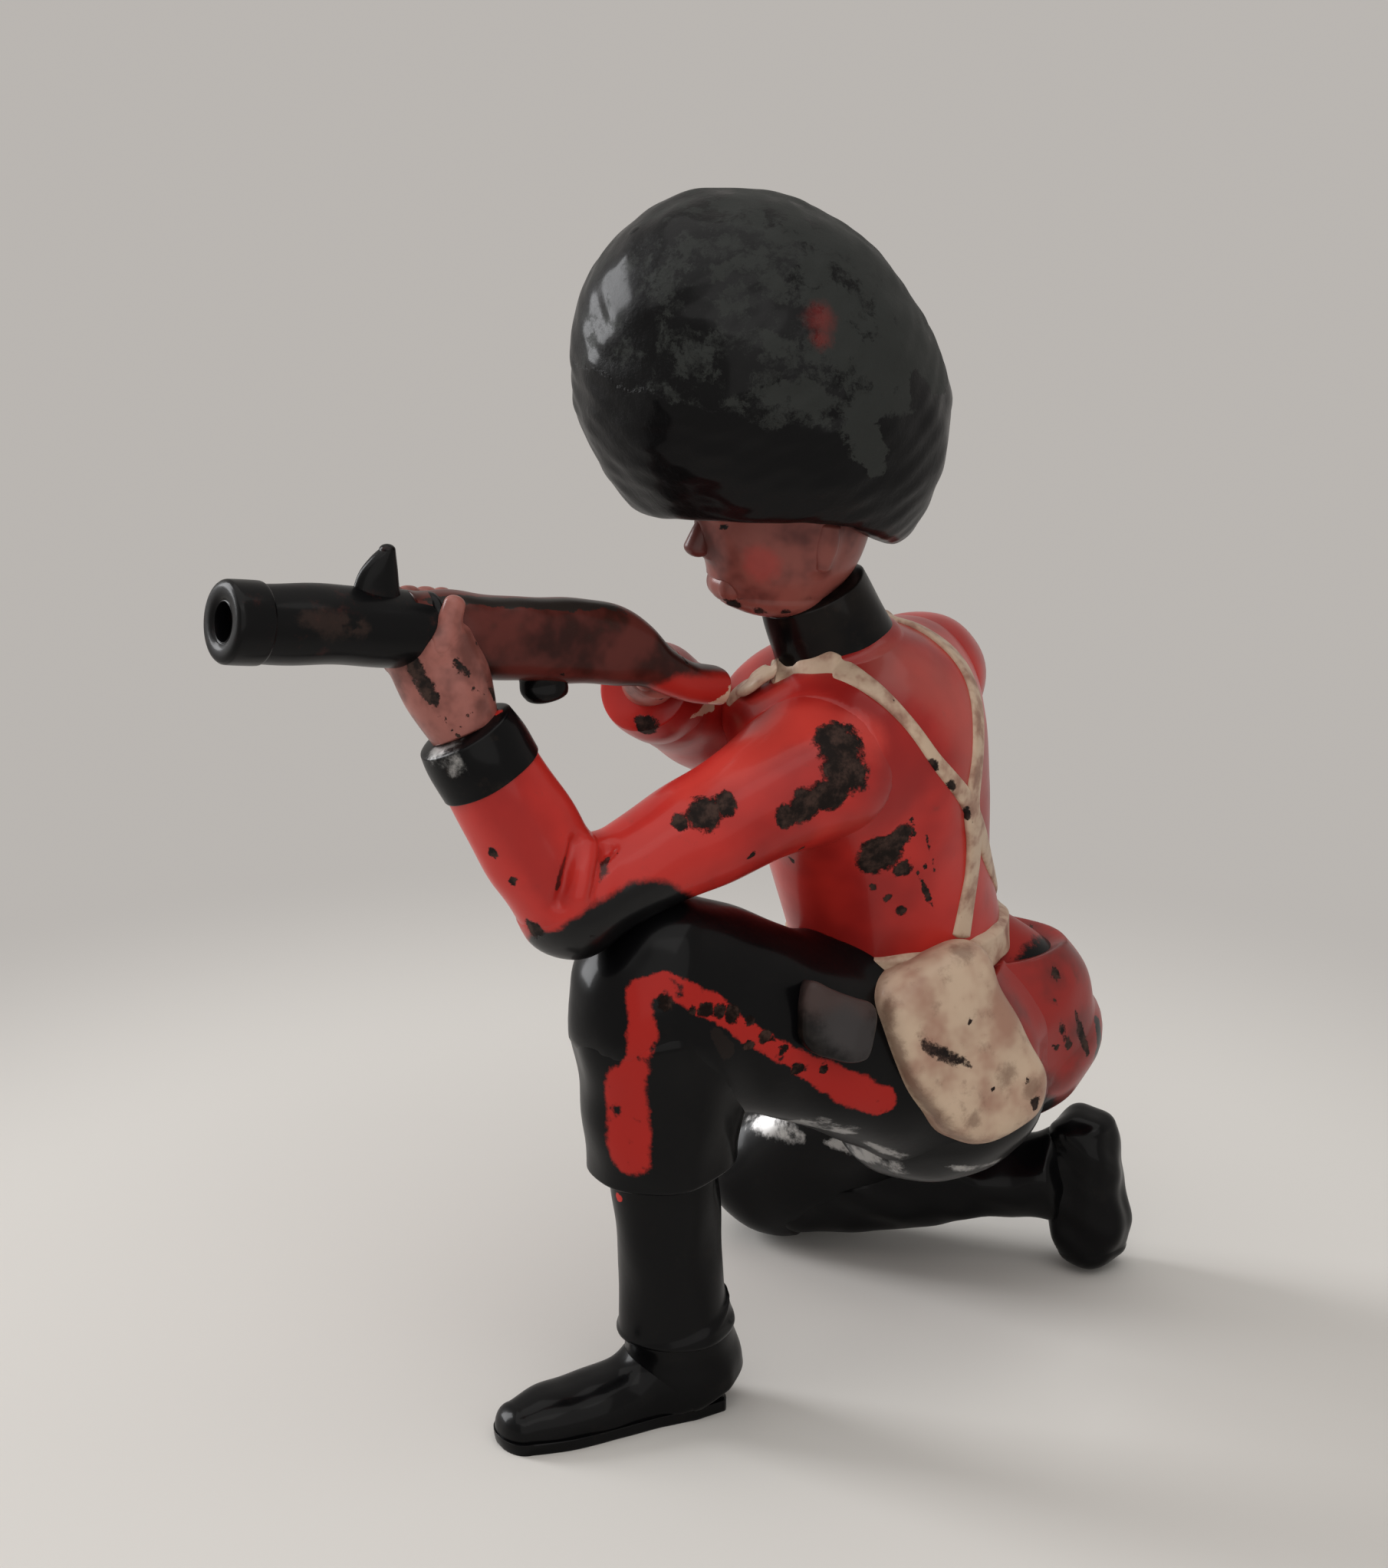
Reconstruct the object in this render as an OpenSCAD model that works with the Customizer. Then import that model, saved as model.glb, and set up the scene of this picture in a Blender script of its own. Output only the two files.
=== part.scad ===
// Painted cast toy soldier in a tall fur cap, kneeling on the right knee and firing a rifle.
// It faces -X, its left side is -Y and it stands on Z = 0. Every piece is carried by the
// joints of one skeleton, so neighbours keep meeting when a size or a joint is changed.

/* [Stance] */
// Height of the figure that the places of its joints are shares of
stature = 45; // [44.6:0.1:45.4]
// Turn of the body away from the line of fire, in degrees
body_turn = 50; // [48:0.5:52]
/* [Torso] */
// Height of the seat's centre above the ground
seat_z = 11.3; // [11.1:0.1:11.5]
// Height of the chest's centre above the ground
chest_z = 24.3; // [24.1:0.1:24.5]
// Height of the neck's root above the ground
neck_z = 28.0; // [27.8:0.1:28.2]
// Width of the chest
chest_w = 10.6; // [10.2:0.1:11]
// Depth of the chest, front to back
chest_d = 8.4; // [8:0.1:8.8]
// Width of one side of the seat
lobe_w = 6.4; // [6.2:0.1:6.6]
// Depth of the seat, front to back
lobe_d = 7.8; // [7.6:0.1:8]
// How far each shoulder joint lies inside the chest's side
shoulder_inset = 0.5; // [0.4:0.05:0.6]
// Distance between the hip joints
hip_span = 6; // [5.8:0.1:6.2]
// Thickness of the tunic's skirt
skirt_t = 0.55; // [0.45:0.05:0.65]

/* [Head and cap] */
// Width of the head
head_w = 5.2; // [5:0.1:5.4]
// Height of the face from the chin to the cap's middle
head_h = 4.6; // [4.4:0.1:4.8]
// Width of the nose
nose_w = 0.9; // [0.8:0.05:1]
// Diameter of the collar
collar_d = 4.5; // [4.3:0.1:4.7]
// Diameter of the fur cap across its long axis
cap_d = 12.5; // [12.2:0.1:12.8]
// Length of the fur cap along its long axis
cap_l = 15; // [14.5:0.1:15.1]
// Lean of the cap's long axis from upright, in degrees
cap_lean = 40; // [37:1:43]
// Radius of the arch that the cap's rim follows over the face
rim_arch_r = 11; // [10.6:0.1:11.4]

/* [Arms] */
// Diameter of the upper sleeves
upper_sleeve_d = 4.3; // [4.1:0.1:4.5]
// Diameter of the lower sleeves
lower_sleeve_d = 3.7; // [3.5:0.1:3.9]
// Length of the cuffs
cuff_l = 1.75; // [1.6:0.05:1.9]
// Width of a finger
finger_w = 0.75; // [0.7:0.05:0.8]
// Width of the hands
hand_w = 3; // [2.9:0.05:3.1]

/* [Rifle] */
// Diameter of the rifle barrel
barrel_d = 2.6; // [2.5:0.05:2.7]
// Diameter of the ring at the muzzle
muzzle_ring_d = 2.8; // [2.75:0.05:2.9]
// Length of the ring at the muzzle
muzzle_ring_l = 1.4; // [1.2:0.1:1.6]
// Diameter of the bore at the muzzle
muzzle_bore_d = 1.3; // [1.1:0.1:1.5]
// Height of the rifle's stock
stock_h = 2.7; // [2.6:0.05:2.8]
// Thickness of the rifle's stock
stock_t = 2.2; // [2.1:0.05:2.3]
// Height of the rear sight above the barrel
sight_h = 1.45; // [1.3:0.05:1.6]

/* [Legs] */
// Diameter of the thighs at the hip
thigh_d = 7.2; // [7:0.1:7.4]
// Diameter of the trouser legs below the knee
shin_d = 5.6; // [5.4:0.1:5.8]
// Diameter of the boot's shaft
shaft_d = 4; // [3.8:0.1:4.2]
// Height of the boots' instep
instep_h = 3.2; // [3:0.1:3.4]
// Width of the boots
boot_w = 3.1; // [3:0.05:3.2]
// Thickness of the boots' soles
sole_t = 0.5; // [0.4:0.05:0.6]

/* [Kit] */
// Width of the haversack
bag_w = 7.4; // [7.2:0.1:7.6]
// Height of the haversack
bag_h = 8.2; // [8:0.1:8.4]
// Thickness of the haversack
bag_t = 1.5; // [1.3:0.1:1.7]
// Width of the belt pouch
pouch_w = 2.7; // [2.5:0.1:2.9]
// Height of the waist belt
belt_h = 1.1; // [1:0.1:1.3]
// Width of the cross straps
strap_w = 1.15; // [1.05:0.05:1.25]
// Thickness of the cross straps and the belt
strap_t = 0.25; // [0.2:0.05:0.3]

/* [Assembly] */
// Gap left between neighbouring pieces
joint_gap = 0.03; // [0.02:0.01:0.04]
// Diameter of the locating spigots of the head, seat and barrel
large_spigot_d = 2; // [1.9:0.05:2.1]
// Diameter of the limbs' locating spigots
spigot_d = 1.4; // [1.3:0.05:1.5]
// Play around each spigot, on the radius
spigot_play = 0.06; // [0.05:0.01:0.08]

/* [Hidden] */

// Points on each ring of a sculpted skin, and steps between two rows of its table
sides = 16;
steps = 2;
overrun = barrel_d / 2;

// Directions: of the figure's line of fire, and of its turned body
up = [0, 0, 1];
aside = [0, 1, 0];
forward = [-1, 0, 0];
right = [sin(body_turn), cos(body_turn), 0];
back = [cos(body_turn), -sin(body_turn), 0];

// Joints of the skeleton, as shares of the stature. The stance puts the middle of the figure over
// the origin, and the shoulders are set from the chest
stance_share = [0.09756, -0.06311, -0.0067];
seat_share = [0.138, 0.013];
chest_share = [0.038, 0.007];
neck_share = [0.013, 0];
waist_share = [0.076, 0.011, 0.369];
head_low_share = [-0.042, 0, 0.678];
cap_centre_share = [-0.058, 0, 0.842];
left_elbow_share = [-0.256, -0.089, 0.467];
left_wrist_share = [-0.333, -0.076, 0.611];
right_elbow_share = [-0.013, 0.156, 0.509];
right_wrist_share = [-0.149, 0.024, 0.605];
left_knee_share = [-0.189, -0.082, 0.393];
left_hem_share = [-0.173, -0.073, 0.238];
left_ankle_share = [-0.16, -0.067, 0.087];
left_heel_share = [-0.129, -0.056, 0.007];
left_toe_share = [-0.3, -0.071, 0.007];
right_knee_share = [0.051, 0.227, 0.064];
right_ankle_share = [0.26, 0.058, 0.098];
right_heel_share = [0.287, 0.047, 0.144];
right_toe_share = [0.296, 0.042, 0.028];
muzzle_share = [-0.52, -0.089, 0.716];
barrel_end_share = [-0.369, -0.058, 0.689];
butt_share = [-0.098, -0.016, 0.636];
left_shoulder_share = [0, -0.013, 0.004];
right_shoulder_share = [0.011, 0.004, 0.029];

stance = stature * stance_share;
function place_over(share, height) = [stance.x + stature * share.x, stance.y + stature * share.y, height];
seat = place_over(seat_share, seat_z);
chest = place_over(chest_share, chest_z);
neck = place_over(neck_share, neck_z);
waist = stance + stature * waist_share;
head_low = stance + stature * head_low_share;
head_high = head_low + [head_h * 0.065, 0, head_h];
cap_centre = stance + stature * cap_centre_share;
left_elbow = stance + stature * left_elbow_share;
left_wrist = stance + stature * left_wrist_share;
right_elbow = stance + stature * right_elbow_share;
right_wrist = stance + stature * right_wrist_share;
left_knee = stance + stature * left_knee_share;
left_hem = stance + stature * left_hem_share;
left_ankle = stance + stature * left_ankle_share;
left_heel = stance + stature * left_heel_share;
left_toe = stance + stature * left_toe_share;
right_knee = stance + stature * right_knee_share;
right_ankle = stance + stature * right_ankle_share;
right_heel = stance + stature * right_heel_share;
right_toe = stance + stature * right_toe_share;
muzzle = stance + stature * muzzle_share;
barrel_end = stance + stature * barrel_end_share;
butt = stance + stature * butt_share;
shoulder_reach = chest_w / 2 - shoulder_inset;
left_shoulder = chest + stature * left_shoulder_share - right * shoulder_reach;
right_shoulder = chest + stature * right_shoulder_share + right * shoulder_reach;
left_hip = seat - right * hip_span / 2;
right_hip = seat + right * hip_span / 2;

function unit(v) = v / norm(v);
function mix(a, b, t) = a * (1 - t) + b * t;
function flat(v, axis) = unit(v - axis * (v * axis));

rifle_axis = unit(barrel_end - muzzle);
tail = barrel_end + rifle_axis * barrel_d;

// A smooth curve through every row of a table, read at a place along it
function between(a, b, c, d, f) =
    (2 * b + (c - a) * f + (2 * a - 5 * b + 4 * c - d) * f ^ 2 + (3 * b - a - 3 * c + d) * f ^ 3) / 2;
function curve_at(rows, t) =
    let (i = min(floor(t), len(rows) - 2))
    between(rows[max(i - 1, 0)], rows[i], rows[i + 1], rows[min(i + 2, len(rows) - 1)], t - i);
function smooth_rows(rows) = [for (k = [0 : (len(rows) - 1) * steps]) curve_at(rows, k / steps)];
function loop_at(rows, t) =
    let (n = len(rows), i = floor(t))
    between(rows[(i + n - 1) % n], rows[i % n], rows[(i + 1) % n], rows[(i + 2) % n], t - i);

// One ring of points: an ellipse, or a squarer form of it where power is over 2
function ring(centre, u, v, half_u, half_v, power, n) =
    [for (k = [0 : n - 1])
        let (c = cos(360 * k / n), s = sin(360 * k / n))
        centre + u * half_u * sign(c) * abs(c) ^ (2 / power) + v * half_v * sign(s) * abs(s) ^ (2 / power)];

// A closed skin over rings
module skin(rings) {
    n = len(rings[0]);
    last = len(rings) - 1;
    walls = [for (i = [0 : last - 1], j = [0 : n - 1])
        let (k = (j + 1) % n)
        each [[i * n + j, (i + 1) * n + k, i * n + k], [i * n + j, (i + 1) * n + j, (i + 1) * n + k]]];
    near_cap = [for (j = [0 : n - 1]) j];
    far_cap = [for (j = [n - 1 : -1 : 0]) last * n + j];
    polyhedron([for (r = rings) each r], concat([near_cap, far_cap], walls), convexity = 6);
}

// A limb between two points. Each row of its table holds the share of the way along, the shifts
// across and outwards, and the half width and half height, as shares of the limb's own sizes.
module limb(from, to, across, width, height, shares, grow = 0, dome = [1, 1], power = 2, n = sides) {
    axis = unit(to - from);
    v = flat(across, axis);
    u = cross(v, axis);
    reach = norm(to - from);
    rows = smooth_rows(shares);
    last = len(rows) - 1;
    function half_v(row) = row[3] * width / 2 + grow;
    function half_u(row) = row[4] * height / 2 + grow;
    function middle(row) = from + axis * reach * row[0] + v * row[1] * width + u * row[2] * height;
    function reach_out(row, swell, t) = swell * min(half_u(row), half_v(row)) * sin(t) + grow * cos(t);
    function round_end(row, sense, swell) = [for (t = swell > 0 ? [68, 45, 22] : grow > 0 ? [1] : [])
        ring(middle(row) + axis * sense * reach_out(row, swell, t),
            u, v, half_u(row) * cos(t), half_v(row) * cos(t), power, n)];
    start = round_end(rows[0], -1, dome[0]);
    finish = round_end(rows[last], 1, dome[1]);
    turned = [for (k = [len(finish) - 1 : -1 : 0]) finish[k]];
    skin(concat(start, [for (r = rows) ring(middle(r), u, v, half_u(r), half_v(r), power, n)], turned));
}

// Sculpted skins are joined or cut as one mesh
module as_mesh() {
    resize([0, 0, 0]) children();
}

// A true cylinder or cone between two points, as the spigot of one piece and as its socket in another
module rod(from, to, d, end_d = undef) {
    v = to - from;
    translate(from) rotate([0, acos(v.z / norm(v)), atan2(v.y, v.x)])
        cylinder(d1 = d, d2 = is_undef(end_d) ? d : end_d, h = norm(v), $fn = 32);
}
module socket(from, to, d) {
    rod(from, to + unit(to - from) * spigot_play, d + 2 * spigot_play);
}

// Torso from the waist to the neck's root
torso_shares = [
    [0, 0, 0, 0.86, 0.9],
    [0.2, 0, -0.01, 0.88, 0.92],
    [0.45, 0, 0.02, 0.95, 1],
    [0.66, 0, 0.02, 1.02, 1.06],
    [0.82, 0, -0.02, 0.98, 1.04],
    [0.93, 0, -0.05, 0.74, 0.88],
    [1, 0, 0, 0.44, 0.56]];
module torso_form(grow = 0) {
    limb(waist, neck, right, chest_w, chest_d, torso_shares, grow, dome = [0.3, 0.4]);
}
neck_spigot = [mix(head_low, head_high, 0.5), neck - up * chest_d / 4];
left_hip_spigot = [mix(left_hip, left_knee, 0.5), mix(left_hip, seat, 0.3)];
right_hip_spigot = [mix(right_hip, right_knee, 0.5), mix(right_hip, seat, 0.3)];
waist_spigot = [seat, mix(waist, chest, 0.4)];
left_shoulder_spigot = [mix(left_shoulder, left_elbow, 0.3), mix(left_shoulder, chest, 0.3)];
right_shoulder_spigot = [mix(right_shoulder, right_elbow, 0.3), mix(right_shoulder, chest, 0.3)];
module tunic() {
    color("firebrick")
    difference() {
        torso_form();
        socket(neck_spigot[0], neck_spigot[1], large_spigot_d);
        socket(waist_spigot[0], waist_spigot[1], large_spigot_d);
        socket(left_shoulder_spigot[0], left_shoulder_spigot[1], spigot_d);
        socket(right_shoulder_spigot[0], right_shoulder_spigot[1], spigot_d);
    }
}

// The belt's band around the waist, which the pieces above and below stop short of
module below_belt_top(gap, depth) {
    translate(waist + [-chest_w, -chest_w, belt_h / 2 + gap - depth]) cube([2 * chest_w, 2 * chest_w, depth]);
}
module above_belt_foot(drop = 0) {
    translate(waist - [chest_w, chest_w, belt_h / 2 + joint_gap + drop])
        cube([2 * chest_w, 2 * chest_w, chest_w]);
}

// Seat of the trousers in two lobes, and the tunic's skirt as a shell over their back
lobe_shares = [
    [0, 0, 0.02, 0.92, 0.94],
    [0.35, 0, 0.06, 1, 1],
    [0.7, 0, 0.03, 0.9, 0.88],
    [1, 0, -0.02, 0.76, 0.74]];
function lobe_low(side) =
    seat + right * side * lobe_w * 0.35 + up * lobe_d * (0.06 * side - 0.15)
    + back * lobe_d * 0.05 * (1 + side);
function lobe_high(side) = waist + right * side * lobe_w * 0.24 - up * lobe_d * 0.06;
module seat_form(grow = 0) {
    for (side = [-1, 1])
        limb(lobe_low(side), lobe_high(side), right, lobe_w, lobe_d, lobe_shares, grow, dome = [0.8, 0.3]);
}
module trouser_seat() {
    color("black")
    difference() {
        union() {
            as_mesh() difference() {
                seat_form();
                torso_form(joint_gap);
                above_belt_foot(skirt_t + joint_gap);
            }
            rod(waist_spigot[0], waist_spigot[1], large_spigot_d);
        }
        socket(left_hip_spigot[0], left_hip_spigot[1], large_spigot_d);
        socket(right_hip_spigot[0], right_hip_spigot[1], large_spigot_d);
        socket(bag_peg[0], bag_peg[1], spigot_d);
    }
}
skirt_fall = 40;
module front_of_hem() {
    translate(waist - up * lobe_d * 0.1) rotate([0, 0, -body_turn]) rotate([0, skirt_fall, 0])
        translate([-2 * chest_w, -chest_w, -2 * chest_w]) cube([2 * chest_w, 2 * chest_w, 3 * chest_w]);
}
module tunic_skirt() {
    color("firebrick")
    difference() {
        as_mesh() difference() {
            seat_form(skirt_t + joint_gap);
            intersection() {
                seat_form(joint_gap);
                below_belt_top(-belt_h - skirt_t - joint_gap, 2 * lobe_d);
            }
            torso_form(joint_gap);
            thigh_form(left_knee, left_hip, joint_gap);
            right_thigh_form(joint_gap);
            above_belt_foot();
            front_of_hem();
        }
        socket(waist_spigot[0], waist_spigot[1], large_spigot_d);
        socket(bag_peg[0], bag_peg[1], spigot_d);
    }
}

module waist_belt() {
    color("wheat")
    as_mesh() difference() {
        intersection() {
            torso_form(strap_t);
            below_belt_top(0, belt_h);
        }
        torso_form(joint_gap);
        thigh_form(left_knee, left_hip, joint_gap);
        right_thigh_form(joint_gap);
    }
}

// A strap's centre line on the body's back: across and above the chest's centre, as shares of its
// width and depth
module strap_band(shares, width) {
    line = [for (p = smooth_rows(shares)) [p.x * chest_w, p.y * chest_d]];
    n = len(line);
    function side(i) = let (d = line[min(i + 1, n - 1)] - line[max(i - 1, 0)]) unit([-d.y, d.x]) * width / 2;
    translate(chest) multmatrix([[right.x, 0, back.x, 0], [right.y, 0, back.y, 0], [0, 1, 0, 0]])
        translate([0, 0, -chest_d]) linear_extrude(2 * chest_d)
            polygon(concat(
                [for (i = [0 : n - 1]) line[i] + side(i)],
                [for (i = [n - 1 : -1 : 0]) line[i] - side(i)]));
}
left_strap_shares = [
    [-0.37, 0.71],
    [-0.35, 0.31],
    [-0.24, 0.05],
    [-0.085, -0.18],
    [0.15, -0.39],
    [0.38, -0.55],
    [0.66, -0.71]];
right_strap_shares = [
    [0.32, 0.71],
    [0.245, 0.43],
    [0.13, 0.24],
    [0.055, 0.05],
    [0.01, -0.19],
    [-0.03, -0.48],
    [-0.085, -0.95]];
module left_cross_strap() {
    color("wheat")
    as_mesh() difference() {
        intersection() {
            torso_form(strap_t * 1.8);
            strap_band(left_strap_shares, strap_w);
        }
        torso_form(joint_gap);
        right_strap_body(joint_gap);
        collar_form(joint_gap);
        below_belt_top(joint_gap, chest_d);
        upper_sleeve_form(left_shoulder, left_elbow, joint_gap);
        lower_sleeve_form(right_elbow, right_wrist, joint_gap);
        stock_form(joint_gap);
    }
}
module right_strap_body(grow = 0) {
    difference() {
        intersection() {
            torso_form(strap_t + grow);
            strap_band(right_strap_shares, strap_w + 2 * grow);
        }
        torso_form(joint_gap - grow);
    }
}
module right_cross_strap() {
    color("wheat")
    as_mesh() difference() {
        right_strap_body();
        collar_form(joint_gap);
        below_belt_top(joint_gap, chest_d);
        upper_sleeve_form(right_shoulder, right_elbow, joint_gap);
        lower_sleeve_form(right_elbow, right_wrist, joint_gap);
    }
}

// Head, collar and fur cap
head_shares = [[0, 0, -0.02, 0.7, 0.8], [0.25, 0, 0, 0.9, 1.1], [0.6, 0, 0, 1, 1.28], [1, 0, 0, 1, 1.3]];
function face_at(rise_share, reach_share) =
    mix(head_low, head_high, rise_share) + forward * head_w * reach_share;
nose_shares = [[0, 0, 0, 0.5, 0.4], [0.6, 0, 0, 0.8, 0.8], [1, 0, 0, 1, 1]];
ear_shares = [[0, 0, 0, 1, 0.7], [0.5, 0, 0, 1, 1], [1, 0, 0, 1, 0.9]];
module head_form(grow = 0) {
    limb(head_low, head_high, aside, head_w, head_w, head_shares, grow, dome = [0.5, 0.2]);
}
module features() {
    limb(face_at(0.7, 0.58), face_at(0.38, 0.64), aside, nose_w, nose_w, nose_shares,
        dome = [0.3, 0.7], n = 12);
    limb(face_at(0.12, 0.42), face_at(-0.02, 0.42), aside, head_w * 0.34, nose_w, finger_shares,
        dome = [0.7, 0.8], n = 12);
    for (side = [-1, 1])
        limb(face_at(0.22, -0.1) + aside * side * head_w * 0.46,
            face_at(0.6, -0.12) + aside * side * head_w * 0.49,
            aside, head_w * 0.1, nose_w, ear_shares, dome = [0.6, 0.6], n = 12);
}
collar_shares = [[0, 0, 0, 1, 1.05], [1, 0, 0, 0.85, 0.9]];
module collar_form(grow = 0) {
    limb(neck - up * collar_d / 10, mix(neck, head_low, 0.45) + up * collar_d / 4, aside, collar_d, collar_d,
        collar_shares, grow, dome = [0, 0]);
}
crown_spigot = [mix(head_low, head_high, 0.5), mix(head_high, cap_centre, 0.6)];
module head() {
    color("rosybrown")
    as_mesh() {
        difference() {
            union() {
                head_form();
                features();
            }
            collar_form(joint_gap);
        }
        rod(neck_spigot[0], neck_spigot[1], large_spigot_d);
        rod(crown_spigot[0], crown_spigot[1], large_spigot_d);
    }
}
module collar() {
    color("black")
    difference() {
        as_mesh() difference() {
            collar_form();
            torso_form(joint_gap);
        }
        socket(neck_spigot[0], neck_spigot[1], large_spigot_d);
    }
}
cap_axis = [-sin(cap_lean), 0, cos(cap_lean)];
cap_profile_shares = [for (t = [-80 : 16 : 80]) [(1 + sin(t)) / 2, 0, 0, cos(t), cos(t)]];
module fur_cap() {
    color("black")
    difference() {
        as_mesh() difference() {
            limb(cap_centre - cap_axis * cap_l / 2, cap_centre + cap_axis * cap_l / 2, aside, cap_d, cap_d,
                cap_profile_shares, dome = [0, 0]);
            translate(cap_centre - [cap_d * 0.14, 0, rim_arch_r + cap_d * 0.31]) rotate([90, 0, 0])
                cylinder(r = rim_arch_r, h = 2 * cap_d, center = true, $fn = 64);
            head_form(joint_gap);
        }
        socket(crown_spigot[0], crown_spigot[1], large_spigot_d);
    }
}

// Arms: each upper sleeve is cut to the tunic, and each lower sleeve to the upper one
upper_sleeve_shares = [
    [0, 0, 0, 1.05, 1.1],
    [0.35, 0, 0, 0.98, 1],
    [0.7, 0, 0, 0.85, 0.84],
    [1, 0, 0, 0.8, 0.78]];
lower_sleeve_shares = [[0, 0, 0, 0.82, 0.82], [0.35, 0, 0, 1, 1], [1, 0, 0, 0.94, 0.94]];
module upper_sleeve_form(shoulder, elbow, grow = 0) {
    limb(shoulder, elbow, up, upper_sleeve_d, upper_sleeve_d, upper_sleeve_shares, grow);
}
function cuff_start(elbow, wrist) = wrist - unit(wrist - elbow) * cuff_l;
module lower_sleeve_form(elbow, wrist, grow = 0) {
    limb(elbow, cuff_start(elbow, wrist), up, lower_sleeve_d, lower_sleeve_d, lower_sleeve_shares, grow,
        dome = [1, 0]);
}
module upper_sleeve(shoulder, elbow, wrist, spigot) {
    difference() {
        union() {
            as_mesh() difference() {
                upper_sleeve_form(shoulder, elbow);
                torso_form(joint_gap);
                children();
            }
            rod(spigot[0], spigot[1], spigot_d);
        }
        socket(mix(elbow, wrist, 0.5), elbow, spigot_d);
    }
}
module lower_sleeve(shoulder, elbow, wrist) {
    difference() {
        union() {
            as_mesh() difference() {
                lower_sleeve_form(elbow, wrist);
                upper_sleeve_form(shoulder, elbow, joint_gap);
                children();
            }
            rod(mix(elbow, wrist, 0.5), elbow, spigot_d);
        }
        socket(wrist, cuff_start(elbow, wrist) - unit(wrist - elbow) * spigot_d, spigot_d);
    }
}
module cuff_form(elbow, wrist, grow = 0) {
    reach = unit(wrist - elbow);
    rod(cuff_start(elbow, wrist) + reach * (joint_gap - grow), wrist + reach * grow,
        lower_sleeve_d * 0.98 + 2 * grow, lower_sleeve_d * 0.9 + 2 * grow);
}
module cuff(elbow, wrist) {
    difference() {
        cuff_form(elbow, wrist);
        children();
        socket(wrist + (wrist - elbow), elbow, spigot_d);
    }
}
module left_upper_sleeve() {
    color("firebrick")
    upper_sleeve(left_shoulder, left_elbow, left_wrist, left_shoulder_spigot)
        thigh_form(left_knee, left_hip, joint_gap);
}
module left_lower_sleeve() {
    color("firebrick")
    lower_sleeve(left_shoulder, left_elbow, left_wrist)
        thigh_form(left_knee, left_hip, joint_gap);
}
module left_cuff() {
    color("black")
    cuff(left_elbow, left_wrist);
}
module right_upper_sleeve() {
    color("firebrick")
    upper_sleeve(right_shoulder, right_elbow, right_wrist, right_shoulder_spigot);
}
module right_lower_sleeve() {
    color("firebrick")
    lower_sleeve(right_shoulder, right_elbow, right_wrist)
        torso_form(joint_gap);
}
module right_cuff() {
    color("black")
    cuff(right_elbow, right_wrist) as_mesh() {
        torso_form(joint_gap);
        stock_form(joint_gap);
    }
}

// Hands: a palm with a thumb on the near side and fingers curled over the far side
palm_shares = [[0, 0, 0, 0.8, 0.8], [0.5, 0, 0, 1.05, 1], [1, 0, 0, 1.1, 1]];
finger_shares = [[0, 0, 0, 1, 1], [1, 0, 0, 0.9, 0.9]];
module fingers(from, to, across, spread, count, d) {
    for (k = [0 : count - 1])
        let (slide = across * spread * (k - (count - 1) / 2))
        limb(from + slide, to + slide, across, d, d, finger_shares, dome = [0.9, 0.9], n = 10);
}
module hand_spigot(elbow, wrist, depth) {
    reach = unit(wrist - elbow);
    rod(wrist + reach * depth, cuff_start(elbow, wrist) - reach * spigot_d, spigot_d);
}
left_grip = mix(barrel_end, butt, 0.06);
thumb_root = left_grip - aside * stock_t * 0.55 - up * hand_w * 0.1;
thumb_tip = left_grip - aside * stock_t * 0.5 + up * hand_w * 0.4 + rifle_axis * hand_w * 0.2;
left_knuckles = left_grip + aside * stock_t * 0.5 - up * stock_h * 0.5;
left_fingertips = left_grip + aside * stock_t * 0.62 + up * stock_h * 0.36;
module left_hand() {
    color("rosybrown")
    as_mesh() {
        difference() {
            union() {
                limb(left_wrist + unit(left_wrist - left_elbow) * joint_gap, left_grip - up * stock_h * 0.2,
                    up, hand_w, hand_w, palm_shares, dome = [0, 0.5]);
                limb(thumb_root, thumb_tip, rifle_axis, finger_w * 1.15, finger_w, finger_shares,
                    dome = [0.9, 0.9], n = 12);
                fingers(left_knuckles, left_fingertips, rifle_axis, finger_w * 0.9, 4, finger_w);
            }
            stock_form(joint_gap);
            cuff_form(left_elbow, left_wrist, joint_gap);
            rod(muzzle, tail, barrel_d + 2 * joint_gap);
        }
        hand_spigot(left_elbow, left_wrist, spigot_d);
    }
}
right_grip = mix(barrel_end, butt, 0.8);
right_palm_end = right_grip + aside * stock_t * 0.4 - up * stock_h * 0.35;
right_knuckles = right_grip + aside * stock_t * 0.5 - up * stock_h * 0.3;
right_fingertips = right_grip + aside * stock_t * 0.1 - up * stock_h * 0.5;
module right_hand() {
    color("rosybrown")
    as_mesh() {
        difference() {
            union() {
                limb(right_wrist + unit(right_wrist - right_elbow) * joint_gap, right_palm_end, up,
                    hand_w * 0.7, hand_w * 0.7, palm_shares, dome = [0, 0.5]);
                fingers(right_knuckles, right_fingertips, rifle_axis, finger_w * 0.9, 3, finger_w * 0.8);
            }
            stock_form(joint_gap);
            cuff_form(right_elbow, right_wrist, joint_gap);
            torso_form(joint_gap);
        }
        hand_spigot(right_elbow, right_wrist, spigot_d * 0.2);
    }
}

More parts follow.
